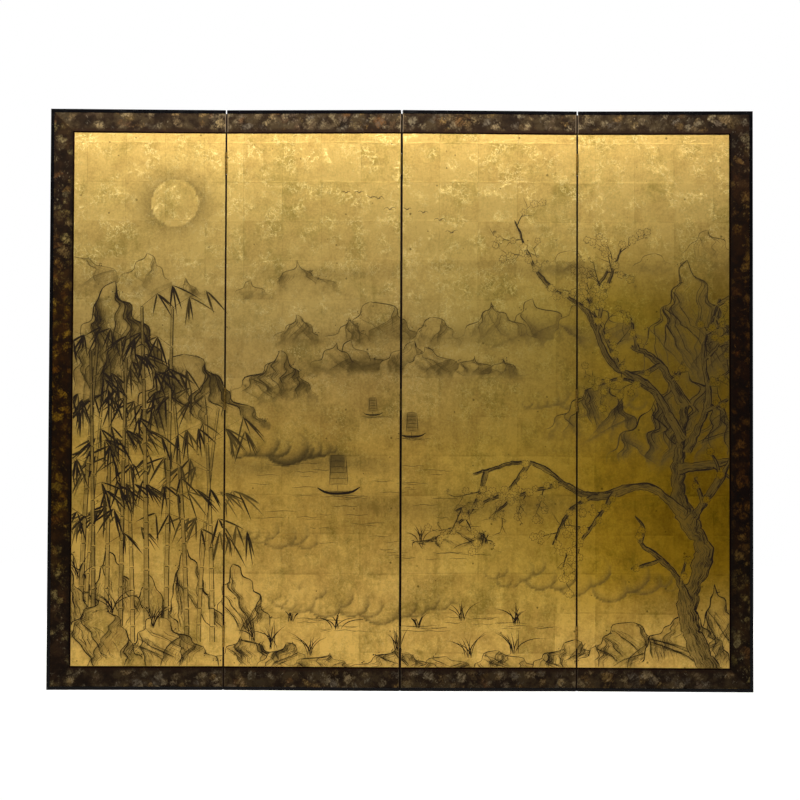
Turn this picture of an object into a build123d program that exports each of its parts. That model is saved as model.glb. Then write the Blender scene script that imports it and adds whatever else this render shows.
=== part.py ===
"""Byobu folding screen: four leaves, hinged edge to edge, that stand in a shallow zigzag.

Each leaf is drawn flat in its own frame and then turned into place. In a leaf's frame, X (along) runs
from its left edge to its right edge, Y (depth) runs from its painted face at 0 to its back, and Z is up.
The whole stands on Z = 0 with its painted side towards -Y, and its origin is at the middle of the
footprint. All sizes are in millimetres.
"""

from build123d import *
import math
import os

# Leaves
LEAF_COUNT = 4
LEAF_WIDTH = 455.6
LEAF_HEIGHT = 1511.0
LEAF_DEPTH = 19.0
SEAM_GAP = 2.2
LEAF_TURN = 2.0  # degrees that a leaf is turned, each the other way from the last, so that the screen stands

# Paper sheets on the front and the back of the core
SHEET = 1.0
SHEET_SETBACK = 1.2  # from the leaf's edge at a seam to the edge of the sheet

# Lacquer rails round the outside
FRAME_FACE = 8.8
FRAME_FRONT = 2.0  # proud of the painted face
FRAME_BACK = 0.8  # proud of the back
FRAME_EDGE_ROUND = 0.7
FRAME_CORNER_ROUND = 2.4

# Mottled border, and the bead inside it
BORDER_FACE = 49.0
BORDER_PROUD = 0.3
BEAD_FACE = 4.0
BEAD_PROUD = 0.9
BEAD_ROUND = 0.6

# Timber core
STILE_FACE = 30.0
RAIL_FACE = 56.0
TENON_LENGTH = 20.0
TENON_FACE = 36.0
TENON_THICKNESS = 6.0
BAR_FACE = 10.0
UPRIGHT_BARS = 3
CROSS_BARS = 9

# Tongue and groove that shut each seam to light between its hinges, down to just off the floor
TONGUE_LENGTH = 4.6
TONGUE_THICKNESS = 3.6
TONGUE_TIP_ROUND = 1.5
GROOVE_DEPTH = 3.4
GROOVE_WIDTH = 4.8
TONGUE_STOP = 0.4  # how far tongue and groove end short of a hinge
TONGUE_FOOT = 0.6  # from the floor to the end of the tongue on the bottom rail

# Hinges
HINGE_HEIGHTS = (140.0, LEAF_HEIGHT / 2, LEAF_HEIGHT - 140.0)
AXIS_PROUD = 3.0  # the pin's axis, from the face that the hinge is on
BARREL_LENGTH = 55.4
KNUCKLE_COUNT = 5
KNUCKLE_RADIUS = 3.0
KNUCKLE_PLAY = 0.3
PLATE_THICKNESS = 1.1
PLATE_RECESS = 0.5
PLATE_START = 3.3  # the plate's two edges, from the pin's axis
PLATE_END = 18.0
PIN_RADIUS = 1.2
PIN_PLAY = 0.05
PIN_HEAD_RADIUS = 2.2
PIN_HEAD_LENGTH = 0.8
PIN_HEAD_ROUND = 0.5

# Screws
SCREW_RADIUS = 1.4
SCREW_LENGTH = 14.0
SCREW_TIP = 3.0
SCREW_HEAD_RADIUS = 2.5
SCREW_PLAY = 0.03
SCREW_PLACES = ((-19.0, 8.5), (0.0, 13.5), (19.0, 8.5))  # up from the hinge's middle, in from its axis
SLOT_WIDTH = 0.7
SLOT_DEPTH = 0.5

# Where the layers lie
CORE_DEPTH = (SHEET, LEAF_DEPTH - SHEET)
CORE_UP = (FRAME_FACE, LEAF_HEIGHT - FRAME_FACE)
FRAME_DEPTH = (-FRAME_FRONT, LEAF_DEPTH + FRAME_BACK)
BEAD_INSET = FRAME_FACE + BORDER_FACE
GOLD_INSET = BEAD_INSET + BEAD_FACE
OPENING_UP = (FRAME_FACE + RAIL_FACE, LEAF_HEIGHT - FRAME_FACE - RAIL_FACE)
PLATE_OUT = SEAM_GAP / 2 + PLATE_RECESS  # a plate's two faces, from the middle of the seam
PLATE_IN = PLATE_OUT - PLATE_THICKNESS
KNUCKLE_LENGTH = (BARREL_LENGTH - (KNUCKLE_COUNT - 1) * KNUCKLE_PLAY) / KNUCKLE_COUNT


def block(along, depth, up):
    """A box between low and high values along the leaf, through it and up it."""
    spans = (along, depth, up)
    middle = [(low + high) / 2 for low, high in spans]
    return Pos(*middle) * Box(*[high - low for low, high in spans])


def centred(middle, size):
    """Low and high values of a size about its middle."""
    return middle - size / 2, middle + size / 2


def slab(outline, depth, corners=(), radius=0.0):
    """A flat shape from its (along, up) outline, with some corners rounded, between two depths."""
    face = make_face(Polyline(*outline, close=True))
    if corners:
        rounded = [v for v in face.vertices() if any(math.dist((v.X, v.Y), c) < 1e-6 for c in corners)]
        face = fillet(rounded, radius)
    front, back = depth
    return Pos(0, back, 0) * extrude(Plane.XZ * face, back - front)


def is_mitre(edge):
    """Whether an edge of a slab's face is straight and runs at 45 degrees."""
    step = edge.position_at(1) - edge.position_at(0)
    return edge.geom_type == GeomType.LINE and abs(abs(step.X) - abs(step.Z)) < 1e-6


def eased(part, depth, radius):
    """A slab with the edges of its face at one depth rounded, apart from its mitres."""
    edges = [e for e in part.edges() if all(abs(v.Y - depth) < 1e-6 for v in e.vertices())]
    return fillet([e for e in edges if not is_mitre(e)], radius)


# Hinge pieces. Each is drawn for the left leaf of a seam, about the pin's axis: X is across the seam, and
# Y runs from the axis into the depth of the leaf.


def screw_blank(play):
    """A countersunk screw without its slot, its head flush with the plate, larger all round by a play."""
    head = Cone(SCREW_RADIUS + play, SCREW_HEAD_RADIUS + play, PLATE_THICKNESS)
    shank = Cylinder(SCREW_RADIUS + play, SCREW_LENGTH)
    tip = Cone(play, SCREW_RADIUS + play, SCREW_TIP)
    blank = Pos(0, 0, -PLATE_THICKNESS / 2) * head
    blank += Pos(0, 0, -PLATE_THICKNESS - SCREW_LENGTH / 2) * shank
    blank += Pos(0, 0, -PLATE_THICKNESS - SCREW_LENGTH - SCREW_TIP / 2) * tip
    return Pos(-PLATE_IN, 0, 0) * Rot(0, 90, 0) * blank


def screw():
    """A countersunk screw with a straight slot across its head."""
    slot_span = (-2 * SCREW_HEAD_RADIUS, 2 * SCREW_HEAD_RADIUS)
    slot = block((-PLATE_IN - SLOT_DEPTH, 0), slot_span, centred(0, SLOT_WIDTH))
    return screw_blank(0.0) - slot


def at_screws(shape):
    """A copy of a shape at each of a plate's screw holes."""
    return [Pos(0, inward, up) * shape for up, inward in SCREW_PLACES]


def hinge_plate(first_knuckle):
    """A plate with every second knuckle, from the first one named, bored for the pin and the screws."""
    half = BARREL_LENGTH / 2
    thickness = (-PLATE_OUT, -PLATE_IN)
    plate = block(thickness, (PLATE_START, PLATE_END), (-half, half))
    for index in range(first_knuckle, KNUCKLE_COUNT, 2):
        low = index * (KNUCKLE_LENGTH + KNUCKLE_PLAY) - half
        plate += block(thickness, (0, PLATE_START), (low, low + KNUCKLE_LENGTH))
        plate += Pos(0, 0, low + KNUCKLE_LENGTH / 2) * Cylinder(KNUCKLE_RADIUS, KNUCKLE_LENGTH)
    return plate - [Cylinder(PIN_RADIUS + PIN_PLAY, BARREL_LENGTH)] - at_screws(screw_blank(SCREW_PLAY))


def hinge_pin():
    """The pin, with a flat rounded head at each end of the barrel."""
    head = Cylinder(PIN_HEAD_RADIUS, PIN_HEAD_LENGTH)
    head = fillet(head.edges().sort_by(Axis.Z)[-1], PIN_HEAD_ROUND)
    top = Pos(0, 0, (BARREL_LENGTH + PIN_HEAD_LENGTH) / 2) * head
    return Cylinder(PIN_RADIUS, BARREL_LENGTH) + top + mirror(top, about=Plane.XY)


def hinged_face(seam):
    """The face that a seam's hinges are on. It alternates, so that the leaves fold up like a fan."""
    return "front" if seam % 2 else "back"


def axis_place(side, face):
    """Where a seam's hinge axis is, along and in depth, in the frame of its left or right leaf."""
    along = LEAF_WIDTH + SEAM_GAP / 2 if side == "left" else -SEAM_GAP / 2
    depth = -AXIS_PROUD if face == "front" else LEAF_DEPTH + AXIS_PROUD
    return along, depth


def at_hinges(shape, side, face):
    """Copies of a hinge piece at a seam's three hinges, in the frame of its left or right leaf."""
    if side == "right":
        shape = mirror(shape, about=Plane.YZ)
    if face == "back":
        shape = mirror(shape, about=Plane.XZ)
    along, depth = axis_place(side, face)
    return [Pos(along, depth, height) * shape for height in HINGE_HEIGHTS]


def between_hinges():
    """The stretches of the core's height that no hinge takes up, as (low, high) pairs."""
    reach = BARREL_LENGTH / 2 + TONGUE_STOP
    ends = [CORE_UP[0]]
    for middle in HINGE_HEIGHTS:
        ends += [middle - reach, middle + reach]
    ends.append(CORE_UP[1])
    return list(zip(ends[::2], ends[1::2]))


def groove(up):
    """What a groove takes out of a leaf's left edge, between two heights."""
    return block((0, GROOVE_DEPTH), centred(LEAF_DEPTH / 2, GROOVE_WIDTH), up)


def tongue(up):
    """A tongue on a leaf's right edge, between two heights, with a rounded tip."""
    along = (LEAF_WIDTH - 1, LEAF_WIDTH + TONGUE_LENGTH)
    bar = block(along, centred(LEAF_DEPTH / 2, TONGUE_THICKNESS), up)
    return fillet(bar.edges().filter_by(Axis.Z).group_by(Axis.X)[-1], TONGUE_TIP_ROUND)


class Leaf:
    """One leaf, numbered from the left. Its methods draw its pieces in its own frame."""

    def __init__(self, number):
        self.number = number
        self.seams = {}
        if number > 1:
            self.seams["left"] = number - 1
        if number < LEAF_COUNT:
            self.seams["right"] = number
        self.core_left, self.core_right = self.span(FRAME_FACE)
        self.open_along = (self.core_left + STILE_FACE, self.core_right - STILE_FACE)

    def span(self, inset, at_seam=0.0):
        """Low and high values along the leaf, drawn in at an outer edge and at a seam."""
        low = at_seam if "left" in self.seams else inset
        high = LEAF_WIDTH - (at_seam if "right" in self.seams else inset)
        return low, high

    def band(self, outer, inner, depth, corner_round=0.0):
        """Strips round the leaf, mitred where they meet: top, bottom and, on an end leaf, side."""
        (left, right), (near, far) = self.span(outer), self.span(inner)
        top, bottom = LEAF_HEIGHT - outer, outer
        within, above = LEAF_HEIGHT - inner, inner
        loose = [x for side, x in (("left", left), ("right", right)) if side in self.seams and corner_round]
        strips = {}
        for name, edge, inside in (("top", top, within), ("bottom", bottom, above)):
            outline = [(left, edge), (right, edge), (far, inside), (near, inside)]
            strips[name] = slab(outline, depth, [(x, edge) for x in loose], corner_round)
        if "left" not in self.seams:
            strips["side"] = slab([(left, bottom), (near, above), (near, within), (left, top)], depth)
        if "right" not in self.seams:
            strips["side"] = slab([(right, bottom), (far, above), (far, within), (right, top)], depth)
        return strips

    def frame(self):
        """The lacquer rails, rounded along their front edges and at the seams. The bottom one meets its
        neighbours with a tongue and a groove, as the stiles do."""
        strips = self.band(0, FRAME_FACE, FRAME_DEPTH, FRAME_CORNER_ROUND)
        rails = {name: eased(rail, FRAME_DEPTH[0], FRAME_EDGE_ROUND) for name, rail in strips.items()}
        if "left" in self.seams:
            rails["bottom"] -= groove((0, FRAME_FACE))
        if "right" in self.seams:
            rails["bottom"] += tongue((TONGUE_FOOT, FRAME_FACE))
        return rails

    def border(self):
        """The mottled border strips."""
        return self.band(FRAME_FACE, BEAD_INSET, (-BORDER_PROUD, SHEET))

    def bead(self):
        """The thin beads round the gold, rounded along the front."""
        strips = self.band(BEAD_INSET, GOLD_INSET, (-BEAD_PROUD, SHEET))
        return [eased(bead, -BEAD_PROUD, BEAD_ROUND) for bead in strips.values()]

    def painted_panel(self):
        """The gilded sheet inside the bead."""
        up = (GOLD_INSET, LEAF_HEIGHT - GOLD_INSET)
        return block(self.span(GOLD_INSET, SHEET_SETBACK), (0, SHEET), up)

    def back_panel(self):
        """The sheet over the whole back of the core."""
        return block(self.span(FRAME_FACE, SHEET_SETBACK), (LEAF_DEPTH - SHEET, LEAF_DEPTH), CORE_UP)

    def tenons(self):
        """The four tenons of the two rails."""
        left, right = self.open_along
        ends = ((left - TENON_LENGTH, left), (right, right + TENON_LENGTH))
        rails = (CORE_UP[0] + RAIL_FACE / 2, CORE_UP[1] - RAIL_FACE / 2)
        thickness = centred(LEAF_DEPTH / 2, TENON_THICKNESS)
        return [block(end, thickness, centred(rail, TENON_FACE)) for rail in rails for end in ends]

    def rails(self):
        """The core's bottom and top rails, each with its tenons."""
        low_left, low_right, high_left, high_right = self.tenons()
        bottom = block(self.open_along, CORE_DEPTH, (CORE_UP[0], OPENING_UP[0]))
        top = block(self.open_along, CORE_DEPTH, (OPENING_UP[1], CORE_UP[1]))
        return [bottom + low_left + low_right, top + high_left + high_right]

    def stiles(self):
        """The core's two stiles, with mortises, a groove or a tongue, and seats for hinges and screws."""
        left = block((self.core_left, self.open_along[0]), CORE_DEPTH, CORE_UP)
        right = block((self.open_along[1], self.core_right), CORE_DEPTH, CORE_UP)
        left -= self.tenons()
        right -= self.tenons()
        for up in between_hinges():
            if "left" in self.seams:
                left -= groove(up)
            if "right" in self.seams:
                right += tongue(up)
        if "left" in self.seams:
            left -= self.hinge_seats("left")
        if "right" in self.seams:
            right -= self.hinge_seats("right")
        return [left, right]

    def hinge_seats(self, edge):
        """What the hinges of the seam at one edge take out of the stile there."""
        half = BARREL_LENGTH / 2
        seat = block((-PLATE_OUT, 0), (0, PLATE_END), (-half, half))
        shapes = [seat] + at_screws(screw_blank(SCREW_PLAY))
        side, face = self.hinge_side(edge), hinged_face(self.seams[edge])
        return [copy for shape in shapes for copy in at_hinges(shape, side, face)]

    def hinge_side(self, edge):
        """Which leaf of the seam at one of its edges this is: it is the left one at its right edge."""
        return "left" if edge == "right" else "right"

    def lattice(self):
        """The bars inside the stiles and rails, halved over each other."""
        (left, right), (low, high) = self.open_along, OPENING_UP
        across = [left + (right - left) * n / (UPRIGHT_BARS + 1) for n in range(1, UPRIGHT_BARS + 1)]
        heights = [low + (high - low) * n / (CROSS_BARS + 1) for n in range(1, CROSS_BARS + 1)]
        (front, back), middle = CORE_DEPTH, LEAF_DEPTH / 2
        bars = []
        for x in across:
            notches = [block(centred(x, BAR_FACE), (front, middle), centred(z, BAR_FACE)) for z in heights]
            bars.append(block(centred(x, BAR_FACE), CORE_DEPTH, (low, high)) - notches)
        for z in heights:
            notches = [block(centred(x, BAR_FACE), (middle, back), centred(z, BAR_FACE)) for x in across]
            bars.append(block((left, right), CORE_DEPTH, centred(z, BAR_FACE)) - notches)
        return bars

    def pieces(self):
        """Every piece that this leaf carries, less its hinges: node name to solids."""
        name = f"leaf_{self.number}"
        found = {
            f"{name}_stiles": self.stiles(),
            f"{name}_rails": self.rails(),
            f"{name}_lattice": self.lattice(),
            f"{name}_painted_panel": [self.painted_panel()],
            f"{name}_back_panel": [self.back_panel()],
            f"{name}_inner_bead": self.bead(),
        }
        found |= {f"{name}_border_{where}": [strip] for where, strip in self.border().items()}
        found |= {f"{name}_frame_{where}": [rail] for where, rail in self.frame().items()}
        return found

    def hinge_pieces(self):
        """The hinge pieces that this leaf carries: node name to solids."""
        found = {}
        for edge, seam in self.seams.items():
            side, face = self.hinge_side(edge), hinged_face(seam)
            first_knuckle = 0 if side == "left" else 1
            screws = [copy for shape in at_screws(screw()) for copy in at_hinges(shape, side, face)]
            found[f"seam_{seam}_hinge_plates_{side}"] = at_hinges(hinge_plate(first_knuckle), side, face)
            found[f"seam_{seam}_screws_{side}"] = screws
            if side == "left":
                found[f"seam_{seam}_hinge_pins"] = at_hinges(hinge_pin(), side, face)
        return found


def leaf_place(number, axis_at, edge):
    """A leaf's place in the row, given the point in plan where the seam at one of its edges has its axis."""
    leaf = Leaf(number)
    along, depth = axis_place(leaf.hinge_side(edge), hinged_face(leaf.seams[edge]))
    turn = LEAF_TURN if number % 2 else -LEAF_TURN
    return Pos(*axis_at, 0) * Rot(0, 0, turn) * Pos(-along, -depth, 0)


def in_row(place, point):
    """A leaf's (along, depth) point as a point in the row's plan."""
    moved = (place * Pos(*point, 0)).position
    return moved.X, moved.Y


def row_plan(middle_axis):
    """Each leaf's place and each seam's axis, from the place of the middle seam's axis."""
    middle = LEAF_COUNT // 2
    axes = {middle: middle_axis}
    places = {middle: leaf_place(middle, middle_axis, "right")}
    places[middle + 1] = leaf_place(middle + 1, middle_axis, "left")
    for number in range(middle, 1, -1):
        axes[number - 1] = in_row(places[number], axis_place("right", hinged_face(number - 1)))
        places[number - 1] = leaf_place(number - 1, axes[number - 1], "right")
    for number in range(middle + 1, LEAF_COUNT):
        axes[number] = in_row(places[number], axis_place("left", hinged_face(number)))
        places[number + 1] = leaf_place(number + 1, axes[number], "left")
    return places, axes


def plan_depth(places):
    """The lowest and highest depth in the row's plan that any leaf's corner reaches."""
    corners = [(along, depth) for along in (0, LEAF_WIDTH) for depth in FRAME_DEPTH]
    reached = [in_row(place, corner)[1] for place in places.values() for corner in corners]
    return min(reached), max(reached)


front, back = plan_depth(row_plan((0, 0))[0])
PLACES, AXES = row_plan((0, -(front + back) / 2))

os.makedirs("parts", exist_ok=True)
for number, place in PLACES.items():
    leaf = Leaf(number)
    for node, solids in (leaf.pieces() | leaf.hinge_pieces()).items():
        placed = [place * solid for solid in solids]
        export_step(Compound(children=placed), f"parts/{node}.step")
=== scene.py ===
"""Dresses the four-leaf folding screen: gilded sheets painted in ink, mottled borders, lacquer and brass.

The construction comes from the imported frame. What is added here is the finish of every piece and the
painting, which is real relief on four gilded sheets that stand for the plain ones of the frame.
Lengths are metres, apart from the painting's own, which are millimetres on the gold laid out flat.
A finish's pair of numbers that turns one value into another is a factor and what is added to it.
"""

import logging
import math
from collections.abc import Iterable, Iterator, Mapping, Sequence
from dataclasses import dataclass, field
from enum import Enum
from typing import Protocol

import bpy
import numpy as np
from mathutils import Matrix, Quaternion, Vector


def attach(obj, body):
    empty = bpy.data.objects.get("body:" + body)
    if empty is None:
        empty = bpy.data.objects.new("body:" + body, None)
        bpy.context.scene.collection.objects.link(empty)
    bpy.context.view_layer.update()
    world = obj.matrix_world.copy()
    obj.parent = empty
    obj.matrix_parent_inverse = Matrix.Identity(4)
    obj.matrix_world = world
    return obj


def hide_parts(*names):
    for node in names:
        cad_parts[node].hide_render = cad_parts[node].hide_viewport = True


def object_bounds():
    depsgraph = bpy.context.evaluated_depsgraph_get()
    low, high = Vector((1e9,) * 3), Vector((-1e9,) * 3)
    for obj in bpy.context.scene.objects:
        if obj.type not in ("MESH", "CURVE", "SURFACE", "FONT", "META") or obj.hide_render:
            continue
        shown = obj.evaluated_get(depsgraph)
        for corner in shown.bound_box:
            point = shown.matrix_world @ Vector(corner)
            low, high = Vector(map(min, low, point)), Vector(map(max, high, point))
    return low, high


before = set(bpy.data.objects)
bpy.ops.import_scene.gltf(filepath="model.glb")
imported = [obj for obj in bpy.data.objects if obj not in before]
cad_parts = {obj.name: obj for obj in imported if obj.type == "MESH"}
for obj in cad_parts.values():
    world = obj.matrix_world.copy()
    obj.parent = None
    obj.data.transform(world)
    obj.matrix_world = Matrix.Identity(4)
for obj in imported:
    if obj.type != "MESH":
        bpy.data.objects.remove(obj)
CAD_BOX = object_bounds()
LOG = logging.getLogger("folding_screen")
MM = 0.001
LEAVES = (1, 2, 3, 4)
SEAM_STEP = 4.6  # from one leaf's gold to the next, in millimetres
LEAF_PITCH = 0.4578  # from one seam to the next
LEAF_HEIGHT = 1.511
BORDER_INSET = 0.0578  # from the outside of the screen to the inner edge of its border
Socket = bpy.types.NodeSocket
Outputs = bpy.types.bpy_prop_collection
Colour = tuple[float, float, float]
Point = tuple[float, float, float]
Spot = tuple[float, float]
Pair = tuple[float, float]
Stops = tuple[tuple[float, Colour], ...]
Feed = float | Colour | Socket
Inputs = Mapping[int | str, Feed]
Cells = tuple[tuple[slice, slice], np.ndarray]
WHITE: Colour = (1.0, 1.0, 1.0)


def tint(red: int, green: int, blue: int) -> Colour:
    """A colour written as display values from 0 to 255, as linear light.

    Args:
        red, green, blue: display values.

    Returns:
        The three linear values.
    """

    def linear(value: int) -> float:
        """One display value as linear light."""
        share = value / 255
        return share / 12.92 if share <= 0.04045 else ((share + 0.055) / 1.055) ** 2.4

    return linear(red), linear(green), linear(blue)


@dataclass(frozen=True)
class Grain:
    """A cloudy pattern: its features to the metre, how many finer sizes it has, and how strong those are."""

    scale: float
    detail: float = 3.0
    rough: float = 0.5


@dataclass(frozen=True)
class Drift:
    """How a place is moved about: the turns to the metre, the whole reach, and how finely it breaks up."""

    scale: float
    reach: float
    detail: float = 2.0


@dataclass(frozen=True)
class Step:
    """A smooth way from start to end while a value goes from low to high."""

    low: float
    high: float
    start: float = 0.0
    end: float = 1.0


@dataclass(frozen=True)
class Relief:
    """What a height of 1 stands for in metres, and how much of it is seen."""

    distance: float
    strength: float = 1.0


class Recipe:
    """A material or world being mixed, with short calls that add its shader nodes and join them."""

    def __init__(self, holder: bpy.types.Material | bpy.types.World, output: str) -> None:
        """Starts with nothing but the output.

        Args:
            holder: what the nodes belong to.
            output: the type of its output node, less Blender's own prefix.
        """
        holder.use_nodes = True
        self.holder = holder
        self.tree = holder.node_tree
        self.tree.nodes.clear()
        self.output = self.node(output)

    @classmethod
    def of_material(cls, name: str) -> "Recipe":
        """Starts a material of this name."""
        return cls(bpy.data.materials.new(name), "OutputMaterial")

    @classmethod
    def of_world(cls, name: str) -> "Recipe":
        """Starts a world of this name."""
        return cls(bpy.data.worlds.new(name), "OutputWorld")

    def node(self, kind: str, inputs: Inputs | None = None, **settings: object) -> bpy.types.Node:
        """Adds a node.

        Args:
            kind: the node's type, less Blender's own prefix.
            inputs: a value or a socket for each input that isn't left as it is.
            settings: the node's own properties.

        Returns:
            The new node.
        """
        made = self.tree.nodes.new(f"ShaderNode{kind}")
        for key, value in settings.items():
            setattr(made, key, value)
        for key, value in (inputs or {}).items():
            self.feed(made.inputs[key], value)
        return made

    def feed(self, socket: Socket, value: Feed) -> None:
        """Gives a socket a value, or joins another socket to it.

        Args:
            socket: an input.
            value: its value, or the output that is joined to it.
        """
        if isinstance(value, Socket):
            self.tree.links.new(value, socket)
        elif isinstance(value, tuple) and socket.type == "RGBA":
            socket.default_value = (*value, 1.0)
        else:
            socket.default_value = value

    def maths(self, operation: str, *values: float | Socket, clamp: bool = False) -> Socket:
        """One sum.

        Args:
            operation: what is done.
            values: up to three values or sockets.
            clamp: whether the result is kept from 0 to 1.

        Returns:
            The result.
        """
        made = self.node("Math", operation=operation, use_clamp=clamp)
        for socket, value in zip(made.inputs, values):
            self.feed(socket, value)
        return made.outputs[0]

    def scaled(self, value: Socket, by: float, plus: float | Socket = 0.0, clamp: bool = False) -> Socket:
        """A value times a number, plus another."""
        return self.maths("MULTIPLY_ADD", value, by, plus, clamp=clamp)

    def blend(self, mode: str, share: float | Socket, first: Feed, second: Feed) -> Socket:
        """Two colours put together.

        Args:
            mode: how they are put together.
            share: how much the second counts, from 0 to 1.
            first, second: the two colours.

        Returns:
            The colour that they make.
        """
        made = self.node("Mix", data_type="RGBA", blend_type=mode)
        # the inputs of a colour come after those of a plain value and of a vector
        for socket, value in zip((made.inputs[0], made.inputs[6], made.inputs[7]), (share, first, second)):
            self.feed(socket, value)
        return made.outputs[2]

    def mix(self, share: float | Socket, first: Feed, second: Feed) -> Socket:
        """A colour between two."""
        return self.blend("MIX", share, first, second)

    def stained(self, colour: Socket, stain: Feed) -> Socket:
        """A colour seen through a clear stain."""
        return self.blend("MULTIPLY", 1.0, colour, stain)

    def step(self, value: Socket, step: Step) -> Socket:
        """A value's way from low to high, as a smooth way from start to end."""
        ends = {"From Min": step.low, "From Max": step.high, "To Min": step.start, "To Max": step.end}
        return self.node("MapRange", {"Value": value, **ends}, interpolation_type="SMOOTHSTEP").outputs[0]

    def place(self, scale: Point = (1.0, 1.0, 1.0), turn: float = 0.0) -> Socket:
        """Where a point is on the whole screen, in metres, turned about the depth and then scaled.

        Args:
            scale: what each of its three values is multiplied by.
            turn: the angle in radians.

        Returns:
            The place.
        """
        where = self.node("TexCoord").outputs["Object"]
        if turn:
            turned = {"Vector": where, "Angle": turn}
            where = self.node("VectorRotate", turned, rotation_type="Y_AXIS").outputs[0]
        return self.node("Mapping", {"Vector": where, "Scale": scale}).outputs[0]

    def axes(self, where: Socket) -> Outputs:
        """A place's three values."""
        return self.node("SeparateXYZ", {"Vector": where}).outputs

    def noise(self, where: Socket, grain: Grain) -> Socket:
        """A cloudy value about a half."""
        inputs = {"Vector": where, "Scale": grain.scale, "Detail": grain.detail, "Roughness": grain.rough}
        return self.node("TexNoise", inputs).outputs["Fac"]

    def chance(self, cells: bpy.types.Node) -> Outputs:
        """Three values from 0 to 1 for each cell of a pattern, each on its own."""
        return self.node("SeparateColor", {"Color": cells.outputs["Color"]}).outputs

    def drifted(self, where: Socket, drift: Drift) -> Socket:
        """A place moved about, but not in its depth.

        Args:
            where: the place.
            drift: how it is moved.

        Returns:
            The place that it is moved to.
        """
        inputs = {"Vector": where, "Scale": drift.scale, "Detail": drift.detail}
        moved = self.node("TexNoise", inputs).outputs["Color"]
        sums = {0: moved, 1: (drift.reach, 0.0, drift.reach), 2: where}
        return self.node("VectorMath", sums, operation="MULTIPLY_ADD").outputs[0]

    def palette(self, value: Socket, stops: Sequence[tuple[float, Colour]]) -> Socket:
        """A colour picked from a row of stops.

        Args:
            value: what picks it, from 0 to 1.
            stops: where each stop lies and its colour.

        Returns:
            The colour.
        """
        made = self.node("ValToRGB", {"Fac": value})
        held = made.color_ramp.elements
        while len(held) < len(stops):
            held.new(1.0)
        for element, (position, colour) in zip(held, stops):
            element.position = position
            element.color = (*colour, 1.0)
        return made.outputs[0]

    def bump(self, height: Socket, relief: Relief, over: Socket | None = None) -> Socket:
        """A normal roughened by a height.

        Args:
            height: a value that is greater where the surface is prouder.
            relief: how much it counts.
            over: another normal that it is laid over.

        Returns:
            The roughened normal.
        """
        inputs = {"Height": height, "Distance": relief.distance, "Strength": relief.strength}
        if over is not None:
            inputs["Normal"] = over
        return self.node("Bump", inputs).outputs[0]

    def finish(self, **sockets: Feed) -> bpy.types.Material:
        """Ends in one Principled shader.

        Args:
            sockets: its inputs, named with underscores.

        Returns:
            The finished material.
        """
        inputs = {key.replace("_", " "): value for key, value in sockets.items()}
        shader = self.node("BsdfPrincipled", inputs)
        self.feed(self.output.inputs["Surface"], shader.outputs[0])
        return self.holder


class Run(Enum):
    """Which way a strip runs on the leaf."""

    ACROSS = "across"
    UPRIGHT = "upright"


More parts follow.
